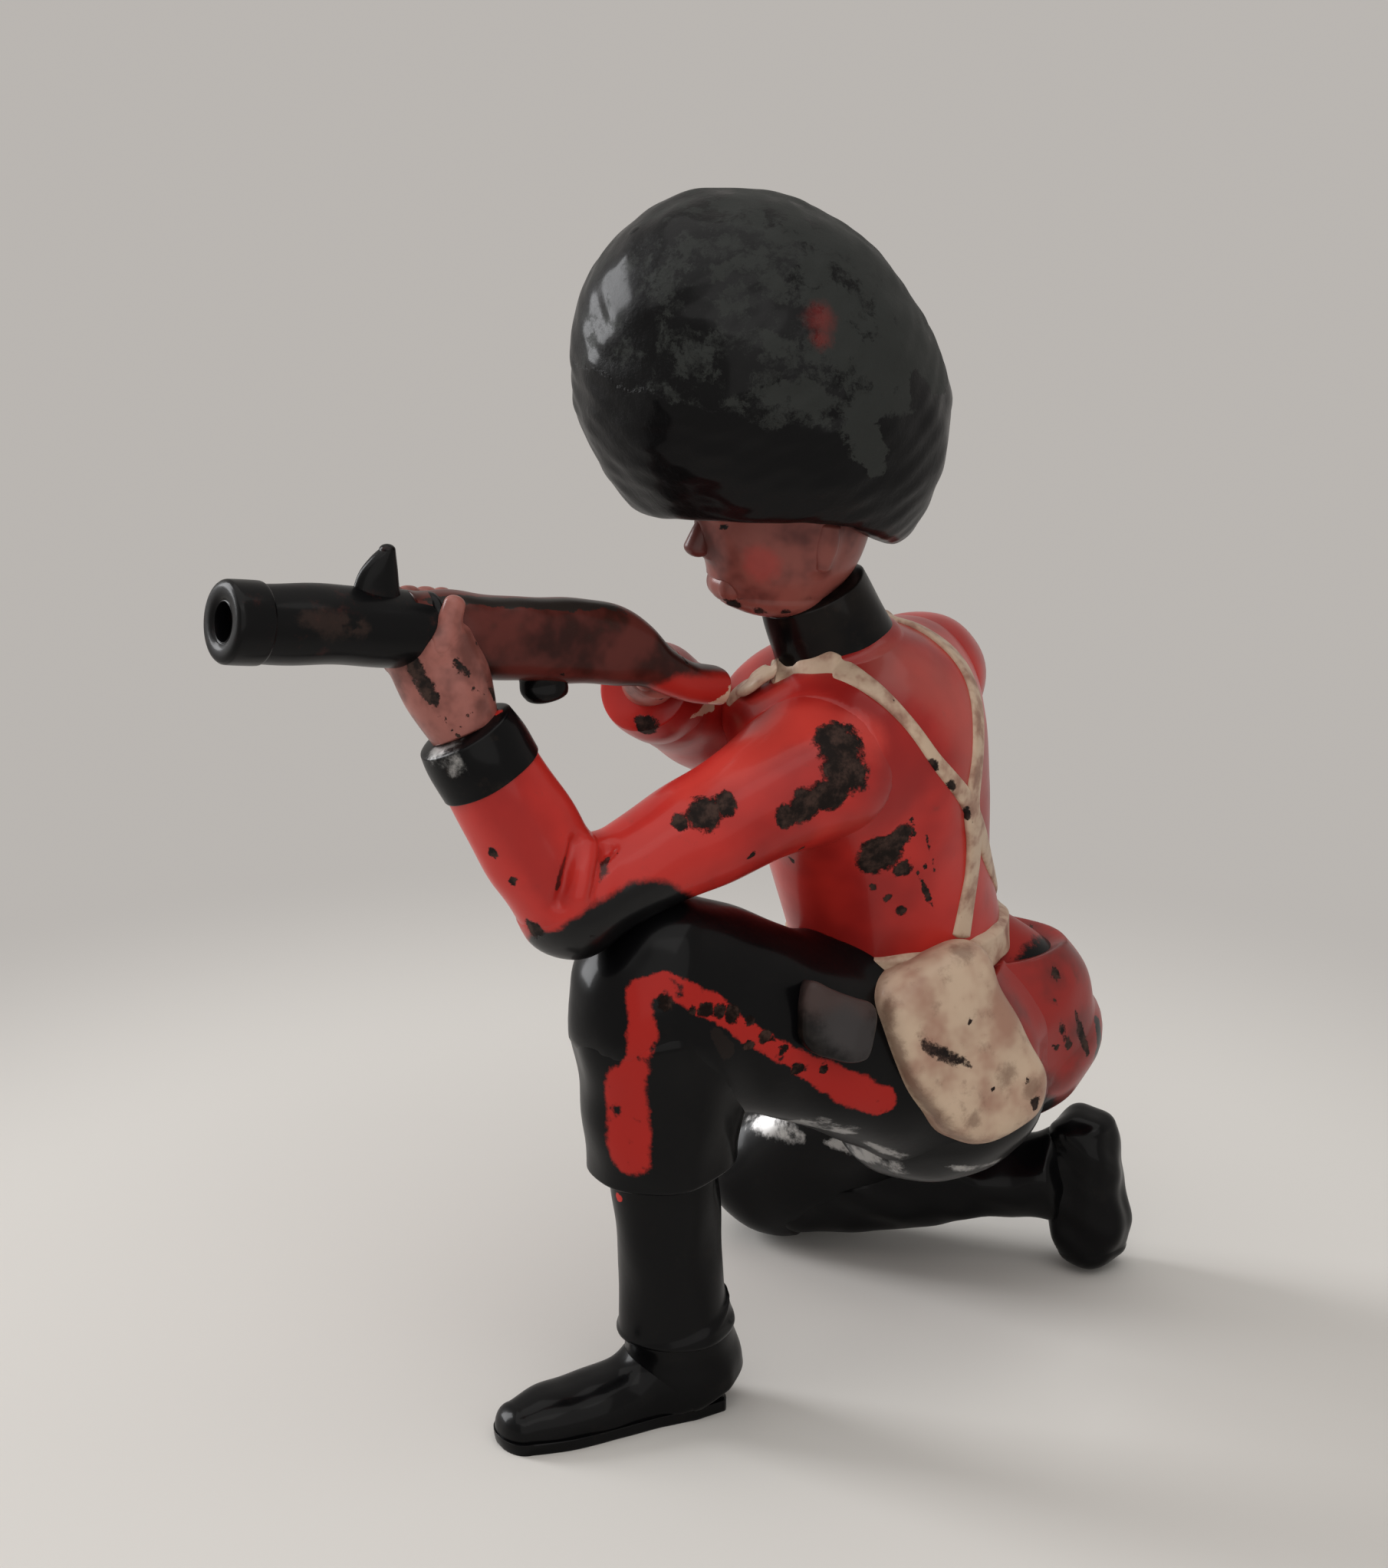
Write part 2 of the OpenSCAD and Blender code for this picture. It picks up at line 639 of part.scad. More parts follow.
// Rifle: the barrel is a true tube whose tail sits in the stock
module rifle_barrel() {
    color("darkslategray")
    difference() {
        union() {
            rod(muzzle + rifle_axis * muzzle_ring_l, barrel_end, barrel_d);
            rod(barrel_end - rifle_axis * overrun, tail, large_spigot_d);
            rod(muzzle, muzzle + rifle_axis * barrel_d, large_spigot_d);
        }
        rod(muzzle - rifle_axis * overrun, muzzle + rifle_axis * barrel_d, muzzle_bore_d);
    }
}
module muzzle_ring() {
    color("darkslategray")
    difference() {
        rod(muzzle, muzzle + rifle_axis * (muzzle_ring_l - joint_gap), muzzle_ring_d);
        rod(muzzle - rifle_axis * overrun, muzzle + rifle_axis * (muzzle_ring_l + overrun),
            large_spigot_d + 2 * joint_gap);
    }
}
stock_shares = [
    [0, 0, 0, 0.98, 0.9],
    [0.14, 0, 0, 1.04, 1],
    [0.35, 0, 0, 1.1, 1.05],
    [0.55, 0, 0.04, 1.08, 1],
    [0.66, -0.02, 0.02, 0.98, 0.95],
    [0.74, -0.1, 0, 0.82, 0.9],
    [0.82, -0.28, 0, 0.62, 0.84],
    [0.92, -0.42, 0, 0.48, 0.84],
    [1, -0.44, 0, 0.48, 0.84]];
module stock_form(grow = 0) {
    limb(barrel_end - rifle_axis * barrel_d * 0.1, butt, up, stock_h, stock_t, stock_shares, grow,
        dome = [0, 0.3], power = 2.4);
}
module rifle_stock() {
    color("saddlebrown")
    difference() {
        as_mesh() difference() {
            stock_form();
            torso_form(joint_gap);
            rod(muzzle, barrel_end + rifle_axis * joint_gap, 2 * barrel_d);
        }
        socket(barrel_end - rifle_axis * overrun, tail, large_spigot_d);
    }
}
sight_shares = [
    [0, 0], [0.02, 0.36], [0.16, 0.62], [0.4, 0.86],
    [0.72, 1], [0.92, 0.98], [0.9, 0.5], [1.1, 0]];
module rear_sight() {
    color("darkslategray")
    difference() {
        translate(mix(muzzle, barrel_end, 0.72) + up * barrel_d * 0.4) rotate([90, 0, 0])
            linear_extrude(sight_h * 0.6, center = true)
                polygon([for (p = sight_shares) [p.x * sight_h, p.y * (sight_h + barrel_d * 0.1)]]);
        rod(muzzle, barrel_end, barrel_d + 2 * joint_gap);
    }
}
magazine_shares = [[0, 0, 0, 0.8, 0.8], [0.5, 0, 0, 1, 1], [1, 0, 0, 1, 1]];
module magazine() {
    color("black")
    as_mesh() difference() {
        limb(mix(barrel_end, butt, 0.42) - up * stock_h * 0.72, mix(barrel_end, butt, 0.4), aside,
            stock_t * 0.6, stock_h * 0.7, magazine_shares, dome = [0.5, 0]);
        stock_form(joint_gap);
    }
}

// Legs
thigh_shares = [
    [0, 0, 0.02, 0.94, 0.8],
    [0.25, 0, 0.02, 0.96, 0.86],
    [0.6, 0, 0, 0.96, 0.92],
    [1, 0, 0, 1, 1]];
module thigh_form(knee, hip, grow = 0) {
    limb(knee, hip, up, thigh_d, thigh_d, thigh_shares, grow, dome = [0.8, 0.6]);
}
left_knee_spigot = [mix(left_knee, left_hem, 0.7), mix(left_knee, left_hem, -0.05)];
module left_thigh() {
    color("black")
    difference() {
        as_mesh() {
            difference() {
                thigh_form(left_knee, left_hip);
                seat_form(joint_gap);
                torso_form(joint_gap);
            }
            rod(left_hip_spigot[0], left_hip_spigot[1], large_spigot_d);
        }
        socket(left_knee_spigot[0], left_knee_spigot[1], large_spigot_d);
        socket(pouch_peg[0], pouch_peg[1], spigot_d);
        socket(bag_peg[0], bag_peg[1], spigot_d);
    }
}
right_thigh_shares = [[0, 0, 0, 0.7, 0.7], [0.5, 0, 0, 0.86, 0.86], [1, 0, 0, 1, 1]];
module right_thigh_form(grow = 0) {
    limb(right_knee, right_hip, up, thigh_d, thigh_d, right_thigh_shares, grow, dome = [0.8, 0.6]);
}
right_knee_spigot = [mix(right_knee, right_ankle, 0.4), mix(right_knee, right_hip, 0.4)];
module right_thigh() {
    color("black")
    difference() {
        as_mesh() {
            difference() {
                right_thigh_form();
                seat_form(3 * joint_gap);
            }
            rod(right_hip_spigot[0], right_hip_spigot[1], large_spigot_d);
        }
        socket(right_knee_spigot[0], right_knee_spigot[1], spigot_d);
    }
}
left_shin_shares = [[0, 0, 0, 0.78, 0.78], [0.3, 0, 0, 0.96, 0.98], [0.6, 0, 0, 1, 1], [1, 0, 0, 0.96, 1]];
module left_shin_form(grow = 0) {
    limb(left_knee, left_hem, aside, shin_d, shin_d, left_shin_shares, grow, dome = [0.6, 0.15]);
}
hem_spigot = [mix(left_hem, left_ankle, 0.3), mix(left_hem, left_knee, 0.25)];
module left_trouser_leg() {
    color("black")
    difference() {
        union() {
            as_mesh() difference() {
                left_shin_form();
                thigh_form(left_knee, left_hip, joint_gap);
            }
            rod(left_knee_spigot[0], left_knee_spigot[1], large_spigot_d);
        }
        socket(hem_spigot[0], hem_spigot[1], spigot_d);
    }
}
left_shaft_shares = [[0, 0, 0, 0.96, 1], [0.8, 0, 0, 0.96, 0.98], [1, 0, 0, 1, 1.04]];
left_foot = [left_heel + up * instep_h * 0.25, left_toe + up * instep_h * 0.14];
module left_shaft_form(grow = 0) {
    limb(left_hem, left_ankle, aside, shaft_d, shaft_d, left_shaft_shares, grow, dome = [0, 0]);
}
ankle_spigot = [mix(left_ankle, left_heel, 0.5), mix(left_ankle, left_hem, 0.25)];
module left_gaiter() {
    color("black")
    difference() {
        union() {
            as_mesh() difference() {
                left_shaft_form();
                left_shin_form(joint_gap);
            }
            rod(hem_spigot[0], hem_spigot[1], spigot_d);
        }
        socket(ankle_spigot[0], ankle_spigot[1], spigot_d);
    }
}
foot_shares = [
    [0, 0, 0, 0.9, 1.5],
    [0.16, 0, 0, 0.98, 1.5],
    [0.34, 0, 0, 0.94, 1.14],
    [0.55, 0, 0, 0.98, 0.9],
    [0.8, 0, 0, 0.98, 0.82],
    [1, 0, 0, 0.76, 0.66]];
ankle_shares = [[0, 0, 0, 0.98, 1.04], [1, 0, 0, 0.84, 0.9]];
module boot_form(grow = 0) {
    limb(left_foot[0], left_foot[1], aside, boot_w, instep_h, foot_shares, grow,
        dome = [0.3, 0.7], power = 2.4);
    limb(left_ankle + up * sole_t * 0.6, mix(left_ankle, left_heel, 0.7), aside, shaft_d, shaft_d,
        ankle_shares, grow, dome = [0, 0]);
}
arch = mix(left_heel, left_toe, 0.3);
sole_peg = [arch + up * sole_t * 0.3, arch + up * instep_h * 0.4];
module ground_slab(top) {
    translate([left_toe.x - instep_h, left_toe.y - instep_h, 0]) cube([4 * instep_h, 2 * instep_h, top]);
}
module left_boot() {
    color("black")
    difference() {
        union() {
            as_mesh() difference() {
                boot_form();
                translate([0, 0, sole_t - instep_h]) ground_slab(instep_h);
                left_shaft_form(joint_gap);
            }
            rod(ankle_spigot[0], ankle_spigot[1], spigot_d);
        }
        socket(sole_peg[0], sole_peg[1], spigot_d);
    }
}
module left_sole() {
    color("black")
    union() {
        as_mesh() intersection() {
            boot_form(sole_t * 0.3);
            ground_slab(sole_t - joint_gap);
        }
        rod(sole_peg[0], sole_peg[1], spigot_d);
    }
}
right_shin_shares = [
    [0, 0, 0, 0.7, 0.7],
    [0.25, 0, 0, 0.88, 0.9],
    [0.5, 0, 0, 0.8, 0.82],
    [1, 0, 0, 0.56, 0.6]];
module right_shin_form(grow = 0) {
    limb(right_knee, right_ankle, up, shin_d, shin_d, right_shin_shares, grow, dome = [0.8, 0.3]);
}
right_ankle_spigot = [mix(right_heel, right_toe, 0.4), mix(right_ankle, right_knee, 0.16)];
module right_trouser_leg() {
    color("black")
    difference() {
        union() {
            as_mesh() difference() {
                right_shin_form();
                right_thigh_form(joint_gap);
                seat_form(joint_gap);
            }
            rod(right_knee_spigot[0], right_knee_spigot[1], spigot_d);
        }
        socket(right_ankle_spigot[0], right_ankle_spigot[1], spigot_d);
    }
}
right_foot_shares = [
    [0, 0, 0.02, 0.86, 0.8],
    [0.25, 0, 0.03, 0.9, 0.98],
    [0.5, 0, 0.03, 0.92, 0.96],
    [0.8, 0, 0, 0.96, 1.05],
    [1, 0, 0, 0.86, 0.84]];
module right_boot_form(grow = 0) {
    limb(right_heel, right_toe, right, boot_w, instep_h, right_foot_shares, grow,
        dome = [0.5, 0.7], power = 2.2);
}
module behind_sole(gap = 0) {
    translate(mix(right_heel, right_toe, 0.5) + back * (instep_h / 2 - sole_t + gap))
        rotate([0, 0, -body_turn])
        translate([0, -boot_w, -2 * instep_h]) cube([instep_h, 2 * boot_w, 4 * instep_h]);
}
ball = mix(right_heel, right_toe, 0.7);
right_sole_peg = [ball + back * (instep_h / 2 - sole_t * 0.6), ball];
module right_boot() {
    color("black")
    difference() {
        union() {
            as_mesh() difference() {
                right_boot_form();
                right_shin_form(joint_gap);
                seat_form(joint_gap);
                behind_sole();
            }
            rod(right_ankle_spigot[0], right_ankle_spigot[1], spigot_d);
        }
        socket(right_sole_peg[0], right_sole_peg[1], spigot_d);
    }
}
module right_sole() {
    color("black")
    union() {
        as_mesh() intersection() {
            right_boot_form(sole_t * 0.3);
            behind_sole(joint_gap);
        }
        rod(right_sole_peg[0], right_sole_peg[1], spigot_d);
    }
}

// Kit: pads that lie on the body, each a closed outline with a crowned face
module pad(centre, out, across, w, h, thick, outline_shares, layer_shares, grow = 0) {
    a = flat(across, out);
    d = cross(out, a);
    down = d.z > 0 ? -d : d;
    n = len(outline_shares);
    function edge(scale_share, rise) = [for (k = [0 : sides - 1])
        let (p = loop_at(outline_shares, k * n / sides))
        centre + a * p.x * (w * scale_share + 2 * grow) + down * p.y * (h * scale_share + 2 * grow)
            + out * (rise * thick + grow)];
    skin([for (k = [len(layer_shares) - 1 : -1 : 0]) edge(layer_shares[k][1], layer_shares[k][0])]);
}
bag_out = unit([0.15, -0.96, 0.18]);
bag_centre_share = [0.078, -0.096, 0.309];
bag_centre = stance + stature * bag_centre_share;
bag_outline_shares = [
    [-0.46, -0.28],
    [-0.26, -0.4],
    [0.08, -0.44],
    [0.2, -0.24],
    [0.38, 0.08],
    [0.46, 0.27],
    [0.36, 0.42],
    [0, 0.47],
    [-0.26, 0.27],
    [-0.41, 0.06],
    [-0.48, -0.14]];
bag_layer_shares = [[-1.4, 0.9], [0, 1], [0.5, 1], [0.8, 0.94], [1, 0.78]];
module bag_form(grow = 0) {
    pad(bag_centre, bag_out, [1, 0, 0], bag_w, bag_h, bag_t, bag_outline_shares, bag_layer_shares, grow);
}
bag_peg = [bag_centre + bag_out * bag_t * 0.5, bag_centre - bag_out * bag_t];
module haversack() {
    color("wheat")
    union() {
        as_mesh() difference() {
            bag_form();
            skirt_outer();
            thigh_form(left_knee, left_hip, joint_gap);
            torso_form(strap_t * 1.8 + joint_gap);
        }
        rod(bag_peg[0], bag_peg[1], spigot_d);
    }
}
module skirt_outer() {
    seat_form(skirt_t + 2 * joint_gap);
}
module haversack_flap() {
    color("wheat")
    as_mesh() difference() {
        bag_form(strap_t);
        bag_form(joint_gap);
        skirt_outer();
        thigh_form(left_knee, left_hip, joint_gap);
        torso_form(strap_t * 1.8 + joint_gap);
        translate(bag_centre - [bag_w, bag_w, bag_h]) cube([2 * bag_w, 2 * bag_w, bag_h * 0.9]);
    }
}
pouch_out = unit([-0.1, -0.96, 0.24]);
pouch_centre_share = [-0.044, -0.124, 0.351];
pouch_centre = stance + stature * pouch_centre_share;
pouch_outline_shares = [
    [-0.42, -0.66],
    [0, -0.44],
    [0.4, -0.24],
    [0.45, 0.1],
    [0.3, 0.5],
    [-0.15, 0.42],
    [-0.53, 0.22],
    [-0.6, -0.1]];
pouch_layer_shares = [[-1.5, 0.95], [0, 1], [0.8, 1], [1, 0.9]];
pouch_peg = [pouch_centre + pouch_out * pouch_w * 0.2, pouch_centre - pouch_out * pouch_w * 0.5];
module belt_pouch() {
    color("dimgray")
    union() {
        as_mesh() difference() {
            pad(pouch_centre, pouch_out, [1, 0, 0], pouch_w, pouch_w, pouch_w * 0.36,
                pouch_outline_shares, pouch_layer_shares);
            thigh_form(left_knee, left_hip, joint_gap);
        }
        rod(pouch_peg[0], pouch_peg[1], spigot_d);
    }
}

fur_cap();
head();
collar();
tunic();
tunic_skirt();
trouser_seat();
waist_belt();
left_cross_strap();
right_cross_strap();
left_upper_sleeve();
left_lower_sleeve();
left_cuff();
left_hand();
right_upper_sleeve();
right_lower_sleeve();
right_cuff();
right_hand();
rifle_stock();
rifle_barrel();
muzzle_ring();
rear_sight();
magazine();
left_thigh();
left_trouser_leg();
left_gaiter();
left_boot();
left_sole();
right_thigh();
right_trouser_leg();
right_boot();
right_sole();
haversack();
haversack_flap();
belt_pouch();
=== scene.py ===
import math
from functools import reduce

import bpy
import numpy as np
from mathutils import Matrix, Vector


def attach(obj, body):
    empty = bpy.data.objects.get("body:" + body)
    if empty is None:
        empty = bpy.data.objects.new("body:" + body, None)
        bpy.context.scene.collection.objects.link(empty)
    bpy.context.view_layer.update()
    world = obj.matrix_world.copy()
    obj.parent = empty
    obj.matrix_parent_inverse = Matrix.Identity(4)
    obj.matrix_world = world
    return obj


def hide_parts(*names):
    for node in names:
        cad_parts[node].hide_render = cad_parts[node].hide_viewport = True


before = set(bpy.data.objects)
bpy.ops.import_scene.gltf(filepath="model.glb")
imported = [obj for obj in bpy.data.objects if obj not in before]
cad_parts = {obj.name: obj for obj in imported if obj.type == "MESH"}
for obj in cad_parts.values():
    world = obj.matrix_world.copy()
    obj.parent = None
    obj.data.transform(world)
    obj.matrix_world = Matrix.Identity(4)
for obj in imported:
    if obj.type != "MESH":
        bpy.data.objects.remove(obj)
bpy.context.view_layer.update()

# Painted cast toy guardsman, kneeling and firing. All sizes below are in millimetres, in the frame's own axes
mm = 0.001
up = np.array([0.0, 0.0, 1.0])
aside = np.array([0.0, 1.0, 0.0])
forward = np.array([-1.0, 0.0, 0.0])


def unit(v):
    # The same direction, 1 long
    return v / np.linalg.norm(v)


def mix(a, b, t):
    # The point at share t of the straight way from a to b
    return a + (b - a) * t


def smoothStep(x):
    # 3 x^2 - 2 x^3, held between 0 and 1
    x = np.clip(x, 0, 1)
    return x * x * (3 - 2 * x)


# Joints of the skeleton, as shares of the stature, as the solids have them
figure = {
    "stature": 45.0, "turn": 50.0, "stance": (0.09756, -0.06311, -0.0067),
    "joints": {
        "waist": (0.076, 0.011, 0.369), "headLow": (-0.042, 0, 0.678), "capCentre": (-0.058, 0, 0.842),
        "leftElbow": (-0.256, -0.089, 0.467), "leftWrist": (-0.333, -0.076, 0.611),
        "rightElbow": (-0.013, 0.156, 0.509), "rightWrist": (-0.149, 0.024, 0.605),
        "leftKnee": (-0.189, -0.082, 0.393), "leftHem": (-0.173, -0.073, 0.238),
        "leftAnkle": (-0.16, -0.067, 0.087), "leftHeel": (-0.129, -0.056, 0.007),
        "leftToe": (-0.3, -0.071, 0.007), "rightKnee": (0.051, 0.227, 0.064),
        "rightAnkle": (0.26, 0.058, 0.098), "rightHeel": (0.287, 0.047, 0.144),
        "rightToe": (0.296, 0.042, 0.028), "muzzle": (-0.52, -0.089, 0.716),
        "barrelEnd": (-0.369, -0.058, 0.689), "butt": (-0.098, -0.016, 0.636), "bag": (0.078, -0.096, 0.309),
        "pouch": (-0.044, -0.124, 0.351)},
    "heights": {"seat": 11.3, "chest": 24.3, "neck": 28.0},
    "places": {"seat": (0.138, 0.013), "chest": (0.038, 0.007), "neck": (0.013, 0)}, "shoulderSpan": 9.6,
    "hipSpan": 6.0, "leftShoulder": (0, -0.013, 0.004), "rightShoulder": (0.011, 0.004, 0.029),
    "headRise": (0.3, 0, 4.6),
}
stature = figure["stature"]
turn = math.radians(figure["turn"])
right = np.array([math.sin(turn), math.cos(turn), 0])
back = np.array([math.cos(turn), -math.sin(turn), 0])
stance = stature * np.array(figure["stance"])
at = {name: stance + stature * np.array(share) for name, share in figure["joints"].items()}
for name, (x, y) in figure["places"].items():
    at[name] = np.array([stance[0] + stature * x, stance[1] + stature * y, figure["heights"][name]])
at["headHigh"] = at["headLow"] + np.array(figure["headRise"])
for name, sign in (("left", -1), ("right", 1)):
    shift = stature * np.array(figure[name + "Shoulder"])
    at[name + "Shoulder"] = at["chest"] + shift + right * sign * figure["shoulderSpan"] / 2
    at[name + "Hip"] = at["seat"] + right * sign * figure["hipSpan"] / 2
rifleAxis = unit(at["barrelEnd"] - at["muzzle"])


def curve(a, b, c, d, f):
    # Catmull-Rom from b to c: (2b + (c - a) f + (2a - 5b + 4c - d) f^2 + (3b - a - 3c + d) f^3) / 2
    return (2 * b + (c - a) * f + (2 * a - 5 * b + 4 * c - d) * f**2 + (3 * b - a - 3 * c + d) * f**3) / 2


def splineRows(table, steps):
    # An open curve through the rows of a table, each stretch cut into equal steps
    rows = np.array(table, float)
    padded = np.vstack([rows[:1], rows, rows[-1:]])
    t = np.linspace(0, len(rows) - 1, (len(rows) - 1) * steps + 1)
    i = np.minimum(t.astype(int), len(rows) - 2)
    return curve(*(padded[i + k] for k in range(4)), (t - i)[:, None])


def loopPoints(table, count):
    # A closed curve through the points
    pts = np.array(table, float)
    t = np.linspace(0, len(pts), count, endpoint=False)
    i = t.astype(int)
    return curve(*(pts[(i + k) % len(pts)] for k in (-1, 0, 1, 2)), (t - i)[:, None])


def flatRound(w, wide, tall):
    # Cosine and sine of w, each raised to its power with its sign kept: below 1 the round turns squarer
    c, k = np.cos(w), np.sin(w)
    return np.sign(c) * np.abs(c) ** wide, np.sign(k) * np.abs(k) ** tall


class Limb:
    # point(s, w) = middle(s) + u * halfU(s) * cos w + v * halfV(s) * sin w, with rounded ends.
    # Rows of the table: share along, shift across, shift outwards, half width, half height.
    # A row of three values has no shifts. leastDome: the flattest end, as a share of the half thickness;
    # core: the share of the way out within which the field is lowered
    leastDome = 0.12
    core = 0.35

    def __init__(self, start, end, across, width, height, table, dome=(1, 1), power=2.0, grow=0.0, steps=12):
        self.start = start
        self.reach = np.linalg.norm(end - start)
        self.axis = (end - start) / self.reach
        self.v = unit(across - self.axis * (across @ self.axis))
        self.u = np.cross(self.v, self.axis)
        rows = splineRows([row if len(row) == 5 else (row[0], 0, 0, *row[1:]) for row in table], steps)
        self.along = rows[:, 0]
        self.shiftV, self.shiftU = rows[:, 1] * width, rows[:, 2] * height
        self.halfV, self.halfU = rows[:, 3] * width / 2 + grow, rows[:, 4] * height / 2 + grow
        self.dome = [max(d, self.leastDome) for d in dome]
        self.power = power

    def middle(self, s):
        # The centre line: start + reach * s * axis, moved by both shifts
        v, u = np.interp(s, self.along, self.shiftV), np.interp(s, self.along, self.shiftU)
        straight = self.start + np.multiply.outer(s * self.reach, self.axis)
        return straight + np.multiply.outer(v, self.v) + np.multiply.outer(u, self.u)

    def halves(self, s):
        return np.interp(s, self.along, self.halfU), np.interp(s, self.along, self.halfV)

    def rings(self, around=96, capRings=14):
        # The end caps turn from the pole, at 90 degrees, down to the end ring, at 0
        tilt = np.radians(np.linspace(90, 0, capRings, endpoint=False))
        s = np.concatenate([np.full(capRings, self.along[0]), self.along, np.full(capRings, self.along[-1])])
        shrink = np.concatenate([np.cos(tilt), np.ones(len(self.along)), np.cos(tilt[::-1])])
        halfU, halfV = self.halves(s)
        least = np.minimum(halfU, halfV)
        rise = np.zeros(len(s))
        rise[:capRings] = -self.dome[0] * least[:capRings] * np.sin(tilt)
        rise[-capRings:] = self.dome[1] * least[-capRings:] * np.sin(tilt[::-1])
        c, k = flatRound(np.linspace(0, 2 * np.pi, around, endpoint=False), 2 / self.power, 2 / self.power)
        middle = self.middle(s) + rise[:, None] * self.axis
        return (
            middle[:, None, :]
            + ((halfU * shrink)[:, None] * c)[..., None] * self.u
            + ((halfV * shrink)[:, None] * k)[..., None] * self.v
        )

    def field(self, p):
        # Roughly the distance to the skin: length * (1 - 1 / rho), with rho the place in the local ellipse
        s = (p - self.start) @ self.axis / self.reach
        held = np.clip(s, self.along[0], self.along[-1])
        over = (s - held) * self.reach
        halfU, halfV = self.halves(held)
        q = p - self.middle(held) - over[..., None] * self.axis
        a, b = q @ self.u, q @ self.v
        least = np.minimum(halfU, halfV)
        dome = np.where(over < 0, self.dome[0], self.dome[1]) * least
        flat = (np.abs(a / halfU) ** self.power + np.abs(b / halfV) ** self.power) ** (1 / self.power)
        rho = np.sqrt(flat**2 + (over / dome) ** 2) + 1e-6
        return np.sqrt(a * a + b * b + over * over) * (1 - 1 / rho) - self.core * least * (rho < self.core)


def gridFaces(rows, around):
    # Quads between neighbouring rings, each ring closed on itself
    i = np.arange(rows - 1)[:, None] * around
    j = np.arange(around)[None, :]
    k = (j + 1) % around
    return np.stack([i + j, i + k, i + around + k, i + around + j], -1).reshape(-1, 4)


def skinOf(rings):
    # Vertices and faces of rings whose first and last ring have shrunk to a pole
    rows, around = rings.shape[:2]
    inner = rings[1:-1].reshape(-1, 3)
    poles = np.array([rings[0].mean(0), rings[-1].mean(0)])
    verts = np.vstack([inner, poles])
    quads = gridFaces(rows - 2, around)
    j = np.arange(around)
    k = (j + 1) % around
    last = (rows - 3) * around
    top = np.stack([np.full(around, len(inner)), k, j], -1)
    end = np.stack([np.full(around, len(inner) + 1), last + j, last + k], -1)
    return verts, quads, np.vstack([top, end])


def normalsOf(verts, quads, tris):
    # Sum of the neighbouring faces' normals at each vertex
    n = np.zeros_like(verts)
    for f in (quads, tris):
        if len(f):
            a, b = verts[f[:, 2]] - verts[f[:, 0]], verts[f[:, -1]] - verts[f[:, 1]]
            c = np.cross(a, b) if f.shape[1] == 4 else np.cross(verts[f[:, 1]] - verts[f[:, 0]], a)
            for k in range(f.shape[1]):
                np.add.at(n, f[:, k], c)
    return n / (np.linalg.norm(n, axis=1, keepdims=True) + 1e-12)


def volumeOf(verts, quads, tris):
    # A sixth of this sum is the volume; below 0 the faces look inwards
    def part(f):
        return np.einsum("ij,ij->i", verts[f[:, 0]], np.cross(verts[f[:, 1]], verts[f[:, 2]])).sum()

    return part(tris) + part(quads[:, :3]) + part(quads[:, [0, 2, 3]])


casting = {"waves": 9, "lengths": (0.6, 1.6), "phase": 6.28}


class Skin:
    # A closed surface in millimetres, which can be pushed along its own normals
    def __init__(self, rings):
        self.verts, self.quads, self.tris = skinOf(rings)
        if volumeOf(self.verts, self.quads, self.tris) < 0:
            self.quads, self.tris = self.quads[:, ::-1], self.tris[:, ::-1]

    def normals(self):
        return normalsOf(self.verts, self.quads, self.tris)

    def push(self, amount):
        self.verts = self.verts + self.normals() * np.broadcast_to(amount, len(self.verts))[:, None]
        return self

    def meet(self, others, blend):
        # Smooth union: where a neighbour's skin is near, both rise by blend / 4 * (1 - |distance| / blend)^2
        lift = np.zeros(len(self.verts))
        for other in others:
            near = np.clip(1 - np.abs(other.field(self.verts)) / blend, 0, 1)
            lift = np.maximum(lift, blend / 4 * near**2)
        return self.push(lift)

    def crease(self, points, width, depth):
        # A furrow along a line: depth * exp(-(distance / width)^2); a negative depth is a ridge
        line = np.array(points, float)
        least = np.full(len(self.verts), 1e9)
        for a, b in zip(line[:-1], line[1:]):
            h = np.clip((self.verts - a) @ (b - a) / ((b - a) @ (b - a)), 0, 1)
            least = np.minimum(least, np.linalg.norm(self.verts - a - h[:, None] * (b - a), axis=1))
        return self.push(-depth * np.exp(-((least / width) ** 2)))

    def floor(self, low, high=None):
        # What lies under the ground, or over a given height, is drawn flat
        self.verts[:, 2] = np.clip(self.verts[:, 2], low, high)
        return self

    def uneven(self, size, amount, seed):
        # The slight waviness of an old casting: amount / 3 * the sum of sines with seeded directions
        rng = np.random.default_rng(seed)
        waves = np.zeros(len(self.verts))
        for k in range(casting["waves"]):
            way = unit(rng.normal(size=3)) * 2 * np.pi / (size * rng.uniform(*casting["lengths"]))
            waves += np.sin(self.verts @ way + rng.uniform(0, casting["phase"]))
        return self.push(amount * waves / 3)


def piece(name, skins, paint, slot, *nodes):
    # One object from one or more closed skins
    verts, faces, first = [], [], 0
    for skin in skins:
        verts.append(skin.verts)
        faces += (skin.quads + first).tolist() + (skin.tris + first).tolist()
        first += len(skin.verts)
    mesh = bpy.data.meshes.new(name)
    mesh.from_pydata((np.vstack(verts) * mm).tolist(), [], faces)
    mesh.polygons.foreach_set("use_smooth", np.ones(len(mesh.polygons), bool))
    mesh.materials.append(paint)
    obj = bpy.data.objects.new(name, mesh)
    bpy.context.scene.collection.objects.link(obj)
    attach(obj, "root")
    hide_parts(*nodes)
    print("made", name, len(mesh.polygons), "faces")


